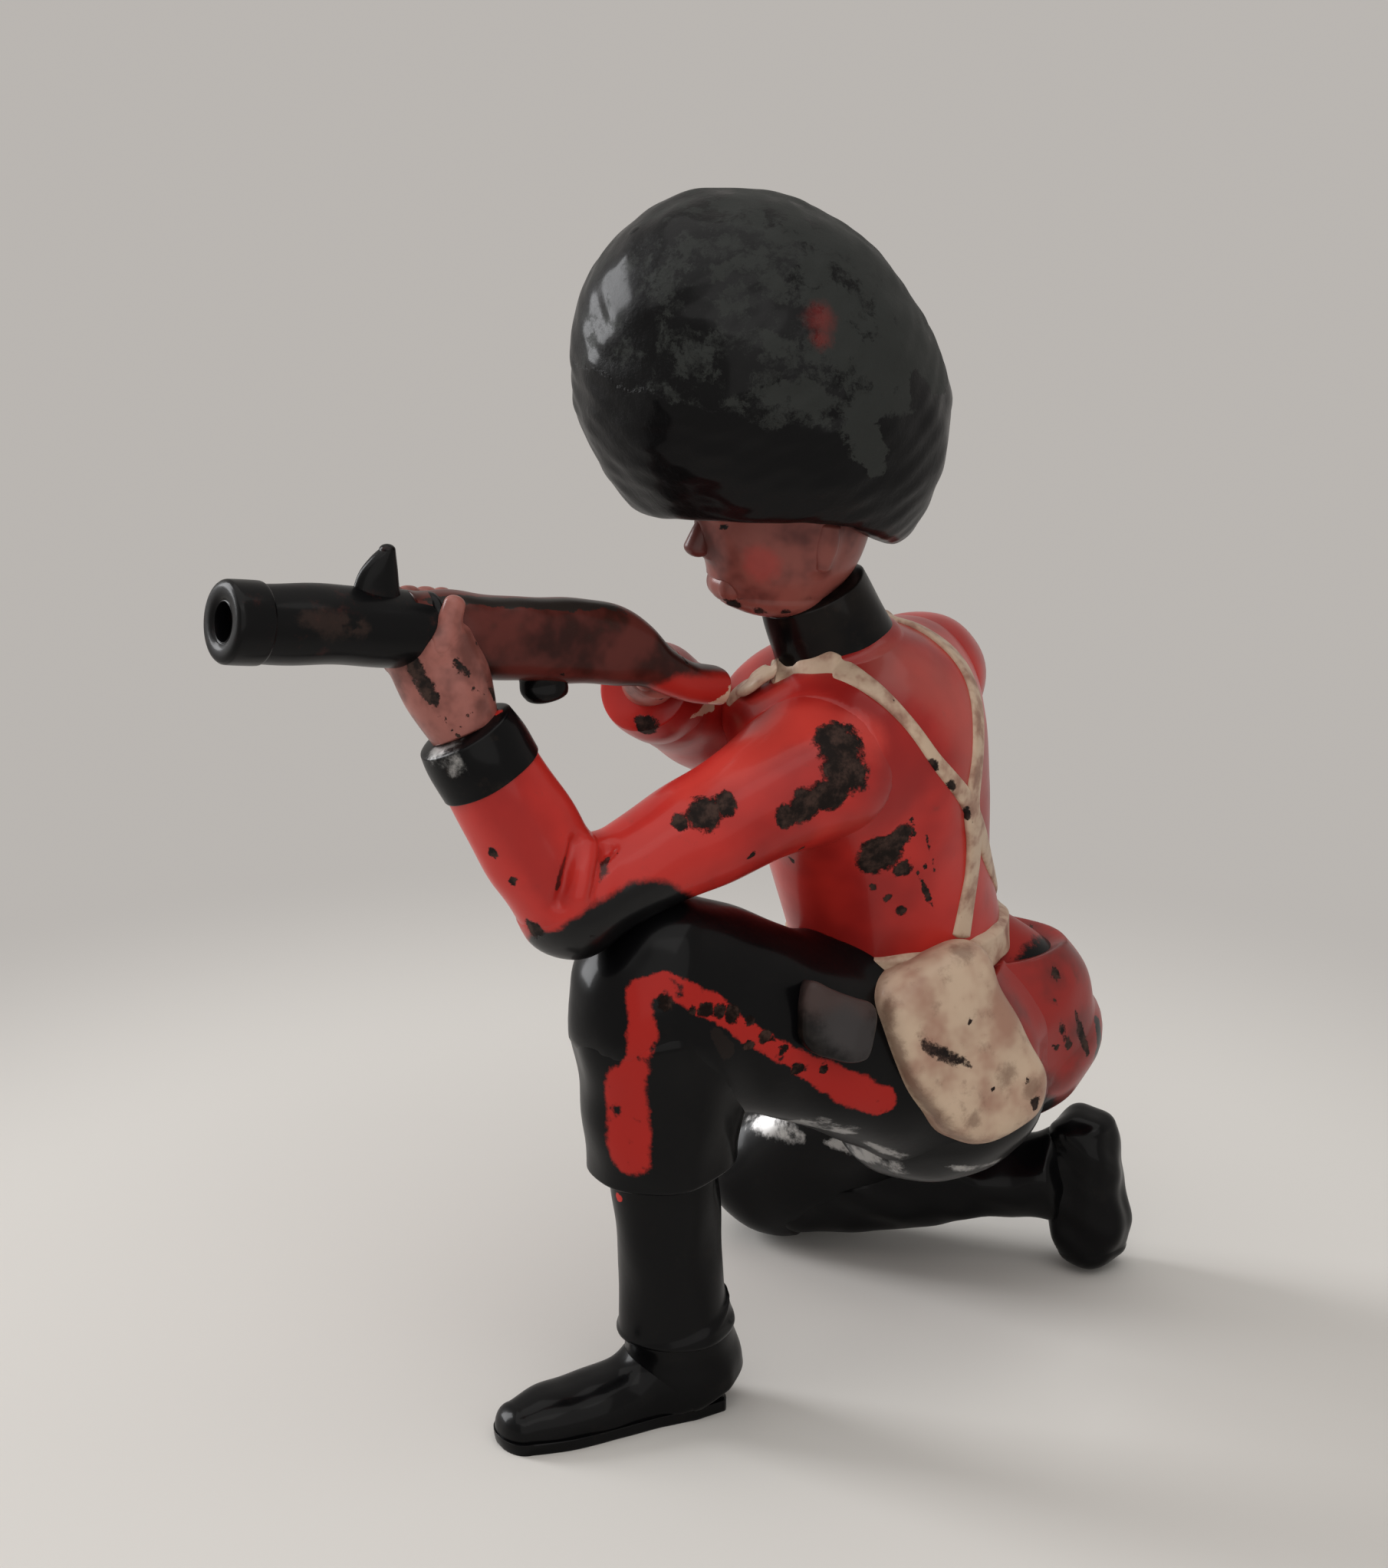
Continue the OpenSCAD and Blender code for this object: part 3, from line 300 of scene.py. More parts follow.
# Shader maths written as Python
class Socket:
    # Wraps a number socket, so that + - * / between sockets and numbers add Math nodes
    def __init__(self, paint, link):
        self.paint, self.link = paint, link

    def maths(self, operation, *values):
        return self.paint.node("ShaderNodeMath", {"operation": operation}, *values)

    def __add__(self, other):
        return self.maths("ADD", self, other)

    def __sub__(self, other):
        return self.maths("SUBTRACT", self, other)

    def __mul__(self, other):
        return self.maths("MULTIPLY", self, other)

    def __truediv__(self, other):
        return self.maths("DIVIDE", self, other)

    def __rsub__(self, other):
        return self.maths("SUBTRACT", other, self)

    __radd__ = __add__
    __rmul__ = __mul__

    def low(self, other):
        return self.maths("MINIMUM", self, other)

    def high(self, other):
        return self.maths("MAXIMUM", self, other)

    def between(self, low, high):
        # 0 below low, 1 above high, smooth in between; low may be the larger of the two
        step = {"interpolation_type": "SMOOTHSTEP"}
        return self.paint.node("ShaderNodeMapRange", step, self, low, high, 0.0, 1.0)


class Paint:
    # A material and the nodes that it is made from. The noises' values are detail and roughness, and the
    # grains are the sizes in millimetres of the noise on the borders of blobs and of bands
    warpNoise = (6.0, 0.72)
    edgeNoise = (6.0, 0.75)
    blobGrain = 0.5
    bandGrain = 0.4

    def __init__(self, name):
        self.material = bpy.data.materials.new(name)
        self.material.use_nodes = True
        self.tree = self.material.node_tree
        self.shader = self.tree.nodes["Principled BSDF"]
        self.place = self.vector("SCALE", self.node("ShaderNodeTexCoord", {}, out="Object"), Scale=1 / mm)

    def node(self, kind, settings, *values, out=0, **named):
        made = self.tree.nodes.new(kind)
        for key, value in settings.items():
            setattr(made, key, value)
        pairs = [(made.inputs[k], v) for k, v in enumerate(values)]
        pairs += [(made.inputs[key.replace("_", " ")], v) for key, v in named.items()]
        for socket, value in pairs:
            self.feed(socket, value)
        return Socket(self, made.outputs[out])

    def feed(self, socket, value):
        if isinstance(value, Socket):
            self.tree.links.new(value.link, socket)
        elif value is not None:
            socket.default_value = value

    def vector(self, operation, *values, out=0, **named):
        return self.node("ShaderNodeVectorMath", {"operation": operation}, *values, out=out, **named)

    def noise(self, size, detail=3.0, rough=0.55, where=None, out=0):
        # Noise whose lumps are about size millimetres across
        return self.node(
            "ShaderNodeTexNoise", {}, out=out,
            Vector=where or self.place, Scale=1 / size, Detail=detail, Roughness=rough,
        )

    def warped(self, size, amount):
        # Places moved by noise, so that marks get ragged edges: place + 2 * amount * (noise - 0.5)
        shift = self.vector("SUBTRACT", self.noise(size, *self.warpNoise, out=1), (0.5, 0.5, 0.5))
        return self.vector("ADD", self.place, self.vector("SCALE", shift, Scale=2 * amount))

    def edge(self, shares, size, rough, soft):
        # 1 where the least share is below 1, 0 above; noise of this size moves the border by rough / 2
        least = reduce(Socket.low, shares)
        if rough:
            least = least + rough * (self.noise(size, *self.edgeNoise) - 0.5)
        return least.between(1 + soft, 1 - soft)

    def blobs(self, where, marks, rough=0.0, soft=0.06):
        # Round marks (x, y, z, radius): share = distance / radius
        shares = [self.vector("DISTANCE", where, mark[:3], out=1) / mark[3] for mark in marks]
        return self.edge(shares, self.blobGrain, rough, soft)

    def band(self, where, points, rough=0.0, soft=0.08):
        # A line through (x, y, z, radius) points: share = distance / radius at the nearest place on the line
        shares = []
        for a, b in zip(points[:-1], points[1:]):
            step = np.array(b[:3]) - np.array(a[:3])
            q = self.vector("SUBTRACT", where, tuple(a[:3]))
            t = self.vector("DOT_PRODUCT", q, tuple(step / (step @ step)), out=1).low(1.0).high(0.0)
            gap = self.vector("DISTANCE", q, self.vector("SCALE", tuple(step), Scale=t), out=1)
            shares.append(gap / (a[3] + t * (b[3] - a[3])))
        return self.edge(shares, self.bandGrain, rough, soft)

    def axis(self, which):
        return self.node("ShaderNodeSeparateXYZ", {}, self.place, out=which)

    def blend(self, amount, a, b):
        # Colour a where amount is 0, colour b where it is 1
        made = self.tree.nodes.new("ShaderNodeMix")
        made.data_type = "RGBA"
        for key, value in ((0, amount), (6, a), (7, b)):
            if isinstance(value, tuple):
                value = (*value, 1.0)
            self.feed(made.inputs[key], value)
        return Socket(self, made.outputs[2])

    def finish(self, colour, rough, height, metal=0.0, coat=0.3, gloss=0.35, depth=0.06, coatRough=0.14):
        # height runs from 0 to 1 and is depth millimetres high
        shader = self.shader.inputs
        self.feed(shader["Base Color"], colour)
        self.feed(shader["Roughness"], rough)
        self.feed(shader["Metallic"], metal)
        self.feed(shader["Coat Weight"], coat)
        shader["Coat Roughness"].default_value = coatRough
        shader["Specular IOR Level"].default_value = gloss
        bump = self.node("ShaderNodeBump", {}, Strength=1.0, Distance=depth * mm, Height=height)
        self.feed(shader["Normal"], bump)
        return self.material


# Colours, linear
hues = {
    # The brightest of the three reds is used only as a painted highlight colour
    "red": (0.52, 0.027, 0.020), "deepRed": (0.30, 0.014, 0.012), "highlightRed": (0.66, 0.060, 0.045),
    "stripeRed": (0.40, 0.019, 0.014), "skirtRed": (0.30, 0.022, 0.018), "skirtDark": (0.15, 0.020, 0.017),
    "black": (0.0022, 0.0022, 0.0026), "blackWarm": (0.009, 0.007, 0.006), "capGrey": (0.031, 0.033, 0.031),
    # The chips' dark colour also paints shade into the elbow creases
    "chipAndShadeDark": (0.011, 0.007, 0.006), "chipBrown": (0.060, 0.034, 0.027), "silver": (0.42, 0.41, 0.40),
    "flesh": (0.27, 0.078, 0.062), "fleshDark": (0.12, 0.032, 0.027), "hand": (0.34, 0.120, 0.098),
    "handDark": (0.14, 0.045, 0.036), "rosy": (0.42, 0.045, 0.036), "dusty": (0.42, 0.17, 0.14),
    "cream": (0.58, 0.43, 0.31), "creamPink": (0.37, 0.205, 0.145), "creamDark": (0.16, 0.085, 0.055),
    "grime": (0.050, 0.030, 0.022), "stock": (0.105, 0.024, 0.019), "stockDark": (0.030, 0.008, 0.006),
    "topGrey": (0.022, 0.017, 0.015), "pouch": (0.060, 0.040, 0.037), "pouchGrey": (0.045, 0.040, 0.040),
}

plainEnamel = {
    "ragged": 0.9, "raggedness": 0.32, "patch": 3.0, "grime": 0.3, "grimeSize": 0.9, "grimeFrom": 0.55,
    "grimeHue": "grime", "chips": 0.72, "chipSize": 0.8, "rough": 1.6, "dull": 0.0, "coat": 0.26,
    "gloss": 0.16, "layers": [], "marks": [], "scratches": [], "worn": [],
}
plainLayer = {
    "lines": [], "spots": [], "rough": 0.0, "soft": 0.08, "strength": 1.0, "brokenSize": 1.0,
    "brokenDetail": 4.0, "brokenEdge": 0.05,
}
blackGloss = {"gloss": 0.05, "coat": 0.19}
# What all enamels share. A noise is its size, detail and roughness, or the last two; an edge is from and to
oldPaint = {
    "patchEdge": (0.38, 0.68), "grimeNoise": (6.0, 0.68), "grimeTo": 0.78, "chipNoise": (4.0, 0.6),
    "chipEdge": 0.03, "markSoft": 0.12, "scratch": {"rough": 1.8, "soft": 0.2},
    "bareNoise": (0.6, 6.0, 0.7), "bareEdge": (0.42, 0.66), "chipMetal": 0.3,
    "rub": {"rough": 1.6, "soft": 0.4}, "rubNoise": (1.1, 6.0, 0.7), "rubEdge": (0.36, 0.58),
    "rubMetal": 0.85, "least": 0.27, "spread": 0.16, "spreadNoise": (1.5, 4.0), "chipRough": 0.30,
    "top": 0.9, "chipDepth": 0.8, "grain": 0.10, "grainNoise": (0.4, 4.0), "swell": 0.4,
    "swellNoise": (2.2, 2.0),
}


def enamel(name, base, shade, look):
    # Old gloss paint over dark metal. paint = mix(base, shade, noise), then grime, then the layers in order;
    # chips = the marks, the scratches, or noise above a level: dull, dark and sunk below the paint
    paint = Paint(name)
    look = {**plainEnamel, **look}
    ragged = paint.warped(look["ragged"], look["raggedness"])
    patches = paint.noise(look["patch"]).between(*oldPaint["patchEdge"])
    colour = paint.blend(patches, hues[base], hues[shade])
    grime = paint.noise(look["grimeSize"], *oldPaint["grimeNoise"])
    grime = grime.between(look["grimeFrom"], oldPaint["grimeTo"])
    colour = paint.blend(grime * look["grime"], colour, hues[look["grimeHue"]])
    for layer in ({**plainLayer, **own} for own in look["layers"]):
        edge = {"rough": layer["rough"], "soft": layer["soft"]}
        shapes = [paint.band(ragged, line, **edge) for line in layer["lines"]]
        if layer["spots"]:
            shapes.append(paint.blobs(ragged, layer["spots"], **edge))
        shape = reduce(Socket.high, shapes)
        if "broken" in layer:
            gaps = paint.noise(layer["brokenSize"], layer["brokenDetail"])
            level, half = layer["broken"], layer["brokenEdge"]
            shape = shape * gaps.between(level + half, level - half)
        colour = paint.blend(shape * layer["strength"], colour, hues[layer["hue"]])
    chips = paint.noise(look["chipSize"], *oldPaint["chipNoise"])
    chips = [chips.between(look["chips"], look["chips"] + oldPaint["chipEdge"])]
    if look["marks"]:
        chips.append(paint.blobs(ragged, look["marks"], look["rough"], oldPaint["markSoft"]))
    chips += [paint.band(ragged, line, **oldPaint["scratch"]) for line in look["scratches"]]
    chips = reduce(Socket.high, chips)
    bared = paint.noise(*oldPaint["bareNoise"]).between(*oldPaint["bareEdge"])
    bared = paint.blend(bared, hues["chipAndShadeDark"], hues["chipBrown"])
    colour = paint.blend(chips, colour, bared)
    metal = chips * oldPaint["chipMetal"]
    if look["worn"]:
        # worn = rubbed through to the white metal, within the given lines and broken by noise
        worn = reduce(Socket.high, [paint.band(ragged, line, **oldPaint["rub"]) for line in look["worn"]])
        worn = worn * paint.noise(*oldPaint["rubNoise"]).between(*oldPaint["rubEdge"])
        colour = paint.blend(worn, colour, hues["silver"])
        metal = metal.high(worn * oldPaint["rubMetal"])
    # rough = least + spread * noise + chipRough * chips + dull;
    # height = top - chipDepth * chips + grain * fine noise + swell * wide noise
    rough = oldPaint["least"] + oldPaint["spread"] * paint.noise(*oldPaint["spreadNoise"])
    rough = rough + chips * oldPaint["chipRough"] + look["dull"]
    height = oldPaint["top"] - oldPaint["chipDepth"] * chips
    height = height + oldPaint["grain"] * paint.noise(*oldPaint["grainNoise"])
    height = height + oldPaint["swell"] * paint.noise(*oldPaint["swellNoise"])
    return paint.finish(colour, rough, height, metal, (1 - chips) * look["coat"], look["gloss"])


def furEnamel(name, look):
    # Grey mottled paint above, gloss black below a ragged level:
    # edge = level + sag * (x - lowest)^2 + drip * (noise - 0.5) - height, and the band has edge above 0.
    # rough = least - polish * glossy + spread * noise; height = rim * band + furrow * streaks + the lumps
    paint = Paint(name)
    x, z = paint.axis(0), paint.axis(2)
    streaks = paint.noise(*look["streak"], where=paint.warped(*look["swirl"]))
    level = look["cover"] + look["drift"] * x
    cover = streaks.between(level, level + look["coverEdge"])
    colour = paint.blend(cover, hues["capGrey"], hues["black"])
    off = x - look["lowest"]
    drips = look["drip"] * (paint.noise(*look["dripNoise"]) - 0.5)
    edge = look["level"] + look["sag"] * off * off + drips - z
    ragged = paint.warped(*look["ragged"])
    band = edge.between(-look["levelEdge"], look["levelEdge"])
    band = band.high(paint.blobs(ragged, look["blackDrips"], look["blackRough"]))
    band = band * (1 - paint.band(ragged, look["greyDrip"], look["greyRough"]))
    colour = paint.blend(band, colour, hues["black"])
    spot = paint.blobs(ragged, look["redSpot"], look["spotRough"], look["spotSoft"])
    colour = paint.blend(spot * look["spotStrength"], colour, hues["red"])
    glossy = band.high(cover)
    rough = look["least"] - look["polish"] * glossy + look["spread"] * paint.noise(*look["spreadNoise"])
    lumps = reduce(Socket.__add__, (share * paint.noise(*noise) for share, *noise in look["lumps"]))
    height = look["rim"] * band + look["furrow"] * streaks + lumps
    coat = look["coatLeast"] + look["coatMore"] * glossy
    return paint.finish(colour, rough, height, coat=coat, gloss=look["gloss"], depth=look["depth"])


redCoat = enamel("redEnamel", "red", "deepRed", {
    "patch": 5.0, "chips": 0.745, "grimeFrom": 0.6,
    "layers": [
        {
            "hue": "black",
            "lines": [[
                (-7.9, -7.9, 18.9, 1.5), (-6.5, -8.2, 19.4, 1.95), (-5.0, -8.2, 19.7, 2.15),
                (-4.1, -7.9, 19.3, 2.0), (-2.7, -7.0, 18.5, 1.8)]]},
        # Painted highlight: lighter red along the top of the left upper arm and on the ridge of the elbow
        # fold
        {
            "hue": "highlightRed", "strength": 0.7, "soft": 0.5,
            "lines": [
                [(-3.2, -7.4, 25.0, 0.9), (1.2, -6.8, 26.4, 1.1), (3.6, -7.4, 25.6, 0.9)],
                [(-6.7, -8.0, 22.9, 0.14), (-7.2, -8.4, 22.0, 0.2)]]},
        {
            "hue": "dusty", "strength": 0.3, "soft": 0.5,
            "lines": [[(6.0, -5.4, 27.6, 1.2), (8.2, -5.6, 25.4, 1.6), (8.6, -6.0, 23.0, 1.2)]]},
        # Painted shade: darker red down the middle of the left forearm
        {
            "hue": "deepRed", "strength": 0.6, "soft": 0.6,
            "lines": [[(-10.4, -7.9, 25.6, 0.7), (-9.2, -8.4, 23.8, 0.95), (-8.3, -8.5, 21.8, 0.6)]]},
        # Painted shade: dark lines in the two elbow creases, on either side of the ridge
        {
            "hue": "chipAndShadeDark", "strength": 0.9, "soft": 0.3,
            "lines": [
                [(-7.55, -8.2, 23.3, 0.12), (-7.86, -8.45, 22.6, 0.26), (-8.1, -8.45, 21.9, 0.12)],
                [(-6.1, -7.7, 22.65, 0.1), (-6.35, -8.0, 22.2, 0.2), (-6.6, -8.2, 21.8, 0.1)]]},
        {
            "hue": "cream",
            "lines": [[(-0.8, -2.5, 25.8, 0.1), (-0.2, -2.2, 25.85, 0.25), (0.4, -1.7, 25.85, 0.3)]]}],
    "marks": [
        (2.5, -8.0, 25.8, 0.85), (2.6, -8.5, 24.9, 0.9), (1.9, -8.6, 24.2, 0.62), (1.0, -8.5, 23.9, 0.6),
        (0.3, -8.5, 23.6, 0.45), (-2.6, -8.0, 23.8, 0.62), (-3.5, -7.9, 23.6, 0.3), (-1.8, -8.2, 24.2, 0.42),
        (-0.9, -8.35, 22.2, 0.14), (1.4, -7.5, 22.1, 0.18), (2.3, -4.9, 20.7, 0.2), (3.9, -7.0, 23.3, 0.2),
        (4.7, -7.1, 21.4, 0.85), (4.3, -6.9, 20.8, 0.45), (5.3, -7.3, 21.9, 0.5), (5.6, -7.0, 20.6, 0.35),
        (5.9, -7.0, 22.6, 0.16), (6.6, -6.9, 21.6, 0.2), (6.3, -6.8, 20.4, 0.14), (7.0, -6.6, 22.6, 0.15),
        (-10.1, -7.6, 23.2, 0.2), (-9.6, -7.8, 22.2, 0.18), (-2.5, -2.6, 25.6, 0.4), (-8.6, -7.6, 20.4, 0.4),
        (5.2, -6.7, 19.4, 0.14), (5.8, -6.6, 18.8, 0.2), (4.6, -6.6, 19.9, 0.16), (6.5, -6.9, 20.5, 0.12)],
    "scratches": [
        [(5.0, -7.5, 23.6, 0.05), (5.6, -7.4, 22.8, 0.1), (5.9, -7.3, 21.8, 0.06)],
        [(6.0, -7.4, 22.9, 0.04), (6.6, -7.0, 21.4, 0.09), (7.0, -6.8, 20.2, 0.05)],
        [(6.2, -7.0, 20.3, 0.05), (6.8, -6.7, 19.4, 0.1), (7.2, -6.6, 18.4, 0.06)],
        [(3.2, -7.6, 24.2, 0.05), (3.7, -7.3, 23.2, 0.09), (3.9, -7.2, 22.5, 0.05)]],
})
skirtCoat = enamel("skirtEnamel", "skirtRed", "skirtDark", {
    "patch": 2.4, "chips": 0.70, "chipSize": 0.6, "grime": 0.45,
    "marks": [(13.1, -5.1, 14.8, 0.25), (12.1, -5.5, 14.2, 0.2)],
    "layers": [
        {
            "hue": "black",
            "lines": [[
                (4.0, -6.6, 8.4, 2.2), (8.0, -7.4, 9.4, 2.6), (11.5, -6.4, 8.6, 1.9), (14.4, -5.2, 7.6, 1.7),
                (16.6, -2.6, 7.2, 1.6)]]},
        {
            "hue": "black",
            "lines": [
                [(15.6, -4.6, 12.3, 0.3), (15.6, -4.8, 10.4, 0.35)],
                [(4.4, -4.5, 9.5, 4.2), (4.4, 6.5, 9.5, 4.2)],
                [(4.4, -4.5, 13.5, 3.8), (4.4, 7.5, 13.5, 3.8)]]}],
    "worn": [
        [(5.5, -3.4, 8.0, 0.35), (5.9, -5.0, 8.5, 0.45), (6.4, -5.5, 8.2, 0.4)],
        [(7.6, -7.0, 8.3, 0.15), (9.2, -7.15, 8.05, 0.28), (10.6, -6.8, 8.1, 0.15)]],
    "scratches": [
        [(12.8, -5.7, 13.9, 0.14), (13.1, -5.6, 12.8, 0.22), (13.6, -5.5, 11.9, 0.15)],
        [(13.8, -5.4, 13.4, 0.12), (14.2, -5.3, 12.4, 0.2), (14.7, -5.1, 11.3, 0.12)],
        [(12.3, -5.8, 12.6, 0.1), (12.9, -5.7, 12.0, 0.14)]],
})
blackCoat = enamel("blackEnamel", "black", "blackWarm", {**blackGloss, "chips": 0.76, "chipSize": 0.5})
cuffCoat = enamel("cuffEnamel", "black", "black", {
    **blackGloss, "chips": 0.8,
    "layers": [{
        "hue": "red", "broken": 0.62,
        "lines": [[(-11.3, -7.3, 27.95, 0.24), (-10.6, -7.4, 28.05, 0.3), (-9.7, -6.8, 28.1, 0.26)]]}],
    "worn": [[(-11.9, -6.6, 27.5, 0.4), (-11.5, -6.9, 26.9, 0.6), (-11.2, -7.4, 26.4, 0.4)]],
})
trouserCoat = enamel("trouserEnamel", "black", "black", {
    **blackGloss, "chips": 0.78, "grimeHue": "blackWarm",
    "layers": [
        {
            "hue": "stripeRed", "broken": 0.66, "brokenSize": 0.8, "rough": 0.35, "soft": 0.14,
            "lines": [[
                (-5.4, -8.1, 11.6, 0.8), (-5.7, -8.4, 14.2, 0.75), (-5.35, -8.6, 15.4, 0.5),
                (-5.2, -8.9, 16.6, 0.55), (-5.3, -8.6, 17.8, 0.45), (-4.5, -9.0, 18.2, 0.4),
                (-3.6, -9.1, 17.7, 0.45), (-2.9, -9.1, 17.2, 0.5), (-2.4, -9.1, 16.9, 0.4),
                (-1.7, -8.9, 16.2, 0.38), (-0.8, -8.8, 15.5, 0.38), (0.3, -8.6, 14.8, 0.4),
                (1.4, -8.5, 14.0, 0.5), (2.9, -8.3, 12.9, 0.68), (4.4, -8.1, 12.1, 0.6)]]},
        {"hue": "chipAndShadeDark", "lines": [[(-2.2, -9.0, 15.4, 0.35), (-2.6, -9.1, 16.1, 0.3)]]}],
    "marks": [
        (-4.5, -9.0, 17.5, 0.3), (-3.5, -9.1, 17.1, 0.22), (-1.9, -9.0, 16.7, 0.3), (-1.2, -8.9, 15.4, 0.2),
        (-0.3, -8.7, 15.4, 0.2), (0.8, -8.6, 14.1, 0.26), (1.9, -8.4, 13.9, 0.2), (-5.6, -8.6, 15.9, 0.18),
        (-2.4, -9.05, 16.9, 0.26), (-1.2, -8.9, 16.3, 0.2), (-0.6, -8.8, 15.6, 0.28),
        (0.1, -8.7, 15.0, 0.22), (-3.0, -9.1, 17.0, 0.3)],
    "worn": [
        [(1.0, -5.1, 11.1, 0.3), (1.6, -5.8, 10.9, 0.55), (2.4, -6.9, 11.0, 0.6), (3.5, -7.0, 10.7, 0.4)],
        [(4.7, -6.3, 9.7, 0.2), (5.6, -6.1, 9.2, 0.4), (6.2, -6.2, 8.8, 0.25)],
        [(5.3, 6.2, 5.6, 0.35), (6.0, 4.2, 6.0, 0.5), (6.5, 3.2, 5.95, 0.3)],
        [(7.2, 2.2, 6.0, 0.2), (7.7, 1.5, 6.1, 0.4)]],
})
seatCoat = enamel("seatEnamel", "black", "black", {
    **blackGloss, "chips": 0.78, "grimeHue": "blackWarm",
    "layers": [{
        "hue": "skirtRed", "rough": 0.4,
        "lines": [[
            (*(at["waist"] - right * 3.6 + back * 2.0 - up * 0.4), 2.3),
            (*(at["waist"] + right * 3.6 + back * 2.0 - up * 0.4), 2.3),
            (*(at["waist"] + right * 4.5 + back * 0.6 - up * 0.4), 1.6)]]}],
})
bootCoat = enamel("bootEnamel", "black", "black", {
    **blackGloss, "chips": 0.76, "grimeHue": "blackWarm", "grime": 0.5,
    "layers": [{"spots": [(-5.2, -6.5, 9.3, 0.2)], "hue": "red"}],
})
capCoat = furEnamel("capEnamel", {
    "streak": (1.3, 7.0, 0.72), "swirl": (1.4, 0.9), "cover": 0.455, "coverEdge": 0.12, "drift": 0.024,
    "level": 37.2, "levelEdge": 0.08, "lowest": 2.2, "sag": 0.03, "drip": 2.2, "dripNoise": (2.2, 5.0, 0.68),
    "ragged": (0.9, 0.5), "blackRough": 1.2, "greyRough": 1.6, "spotRough": 0.6, "spotSoft": 0.9,
    "spotStrength": 0.2, "least": 0.46, "polish": 0.16, "spread": 0.12, "spreadNoise": (1.2, 3.0),
    "lumps": [(0.35, 0.7, 5.0, 0.6), (0.2, 1.6, 3.0), (0.14, 0.3, 3.0)], "rim": 0.3, "furrow": 0.35,
    "coatLeast": 0.05, "coatMore": 0.17, "gloss": 0.05, "depth": 0.11,
    "blackDrips": [(5.6, -7.9, 37.8, 0.7), (5.3, -8.0, 38.4, 0.4)],
    "greyDrip": [(2.2, -9.0, 37.7, 0.6), (2.9, -8.9, 36.7, 0.7), (3.5, -8.7, 35.7, 0.45)],
    "redSpot": [(1.5, -8.3, 40.8, 0.42), (1.4, -8.6, 40.2, 0.3)],
})
fleshCoat = enamel("fleshEnamel", "flesh", "fleshDark", {
    "chips": 0.75, "chipSize": 0.5, "patch": 1.8, "gloss": 0.25, "coat": 0.12, "raggedness": 0.2,
    "ragged": 0.6,
    "layers": [
        {
            "hue": "rosy", "strength": 0.6, "rough": 0.8, "soft": 0.4,
            "spots": [(0.9, -4.9, 31.7, 0.66), (0.9, -0.78, 31.7, 0.66)]},
        {"hue": "black", "spots": [(0.0, -3.9, 33.0, 0.26), (0.0, -1.78, 33.0, 0.26)]},
        {"hue": "rosy", "lines": [[(-0.75, -3.2, 31.35, 0.14), (-0.75, -2.48, 31.35, 0.14)]]}],
    "marks": [(1.1, -4.2, 29.5, 0.45), (0.3, -3.5, 29.9, 0.4), (2.0, -4.6, 29.6, 0.3)],
})
handCoat = enamel("handEnamel", "hand", "handDark", {
    "chips": 0.68, "chipSize": 0.5, "patch": 1.3, "gloss": 0.25, "coat": 0.12, "ragged": 0.6,
    "raggedness": 0.4,
    "scratches": [
        [(-12.5, -6.5, 29.8, 0.2), (-12.2, -6.8, 29.2, 0.26), (-11.9, -7.0, 28.6, 0.16)],
        [(-11.2, -7.1, 29.8, 0.16), (-10.8, -7.1, 29.4, 0.14)],
        [(-10.1, -6.8, 28.9, 0.14), (-9.7, -6.7, 28.5, 0.2)]],
})
strapCoat = enamel("strapEnamel", "cream", "creamPink", {
    "chips": 0.70, "chipSize": 0.5, "patch": 0.9, "dull": 0.15, "gloss": 0.25, "coat": 0.1, "grime": 0.6,
    "grimeFrom": 0.5, "grimeHue": "creamDark",
    "marks": [(7.3, -7.5, 23.4, 0.35), (6.4, -7.6, 24.4, 0.3), (8.3, -6.8, 22.2, 0.3)],
})
bagCoat = enamel("bagEnamel", "cream", "creamPink", {
    "chips": 0.77, "chipSize": 0.4, "patch": 2.2, "dull": 0.15, "gloss": 0.25, "coat": 0.1, "grime": 0.55,
    "grimeFrom": 0.52, "grimeHue": "creamDark", "grimeSize": 0.7,
    "layers": [
        {
            "hue": "creamDark", "strength": 0.6, "rough": 2.4, "soft": 0.6,
            "spots": [
                (7.8, -7.7, 17.4, 0.5), (9.6, -5.6, 17.0, 0.6), (9.2, -8.9, 12.6, 0.4),
                (10.3, -8.6, 11.9, 0.4), (7.7, -9.1, 11.2, 0.3)]},
        {
            "hue": "creamDark", "strength": 0.7, "rough": 1.6, "soft": 0.6,
            "lines": [[
                (4.5, -8.2, 16.6, 0.3), (4.3, -8.5, 14.8, 0.35), (5.6, -8.7, 12.4, 0.35),
                (7.4, -8.6, 10.6, 0.4), (9.4, -8.3, 10.0, 0.4), (11.2, -8.0, 10.8, 0.3)]]}],
    "marks": [
        (8.7, -8.5, 15.7, 0.18), (8.4, -8.6, 15.3, 0.13), (8.7, -8.6, 15.0, 0.12), (7.7, -8.7, 14.9, 0.12),
        (10.6, -8.7, 12.9, 0.16), (10.5, -8.7, 11.3, 0.28), (10.1, -8.6, 12.2, 0.14),
        (8.6, -8.9, 12.2, 0.12)],
    "scratches": [[
        (5.5, -9.2, 14.7, 0.26), (6.2, -9.1, 14.15, 0.3), (7.0, -9.1, 13.6, 0.26), (7.6, -9.0, 13.4, 0.2)]],
})
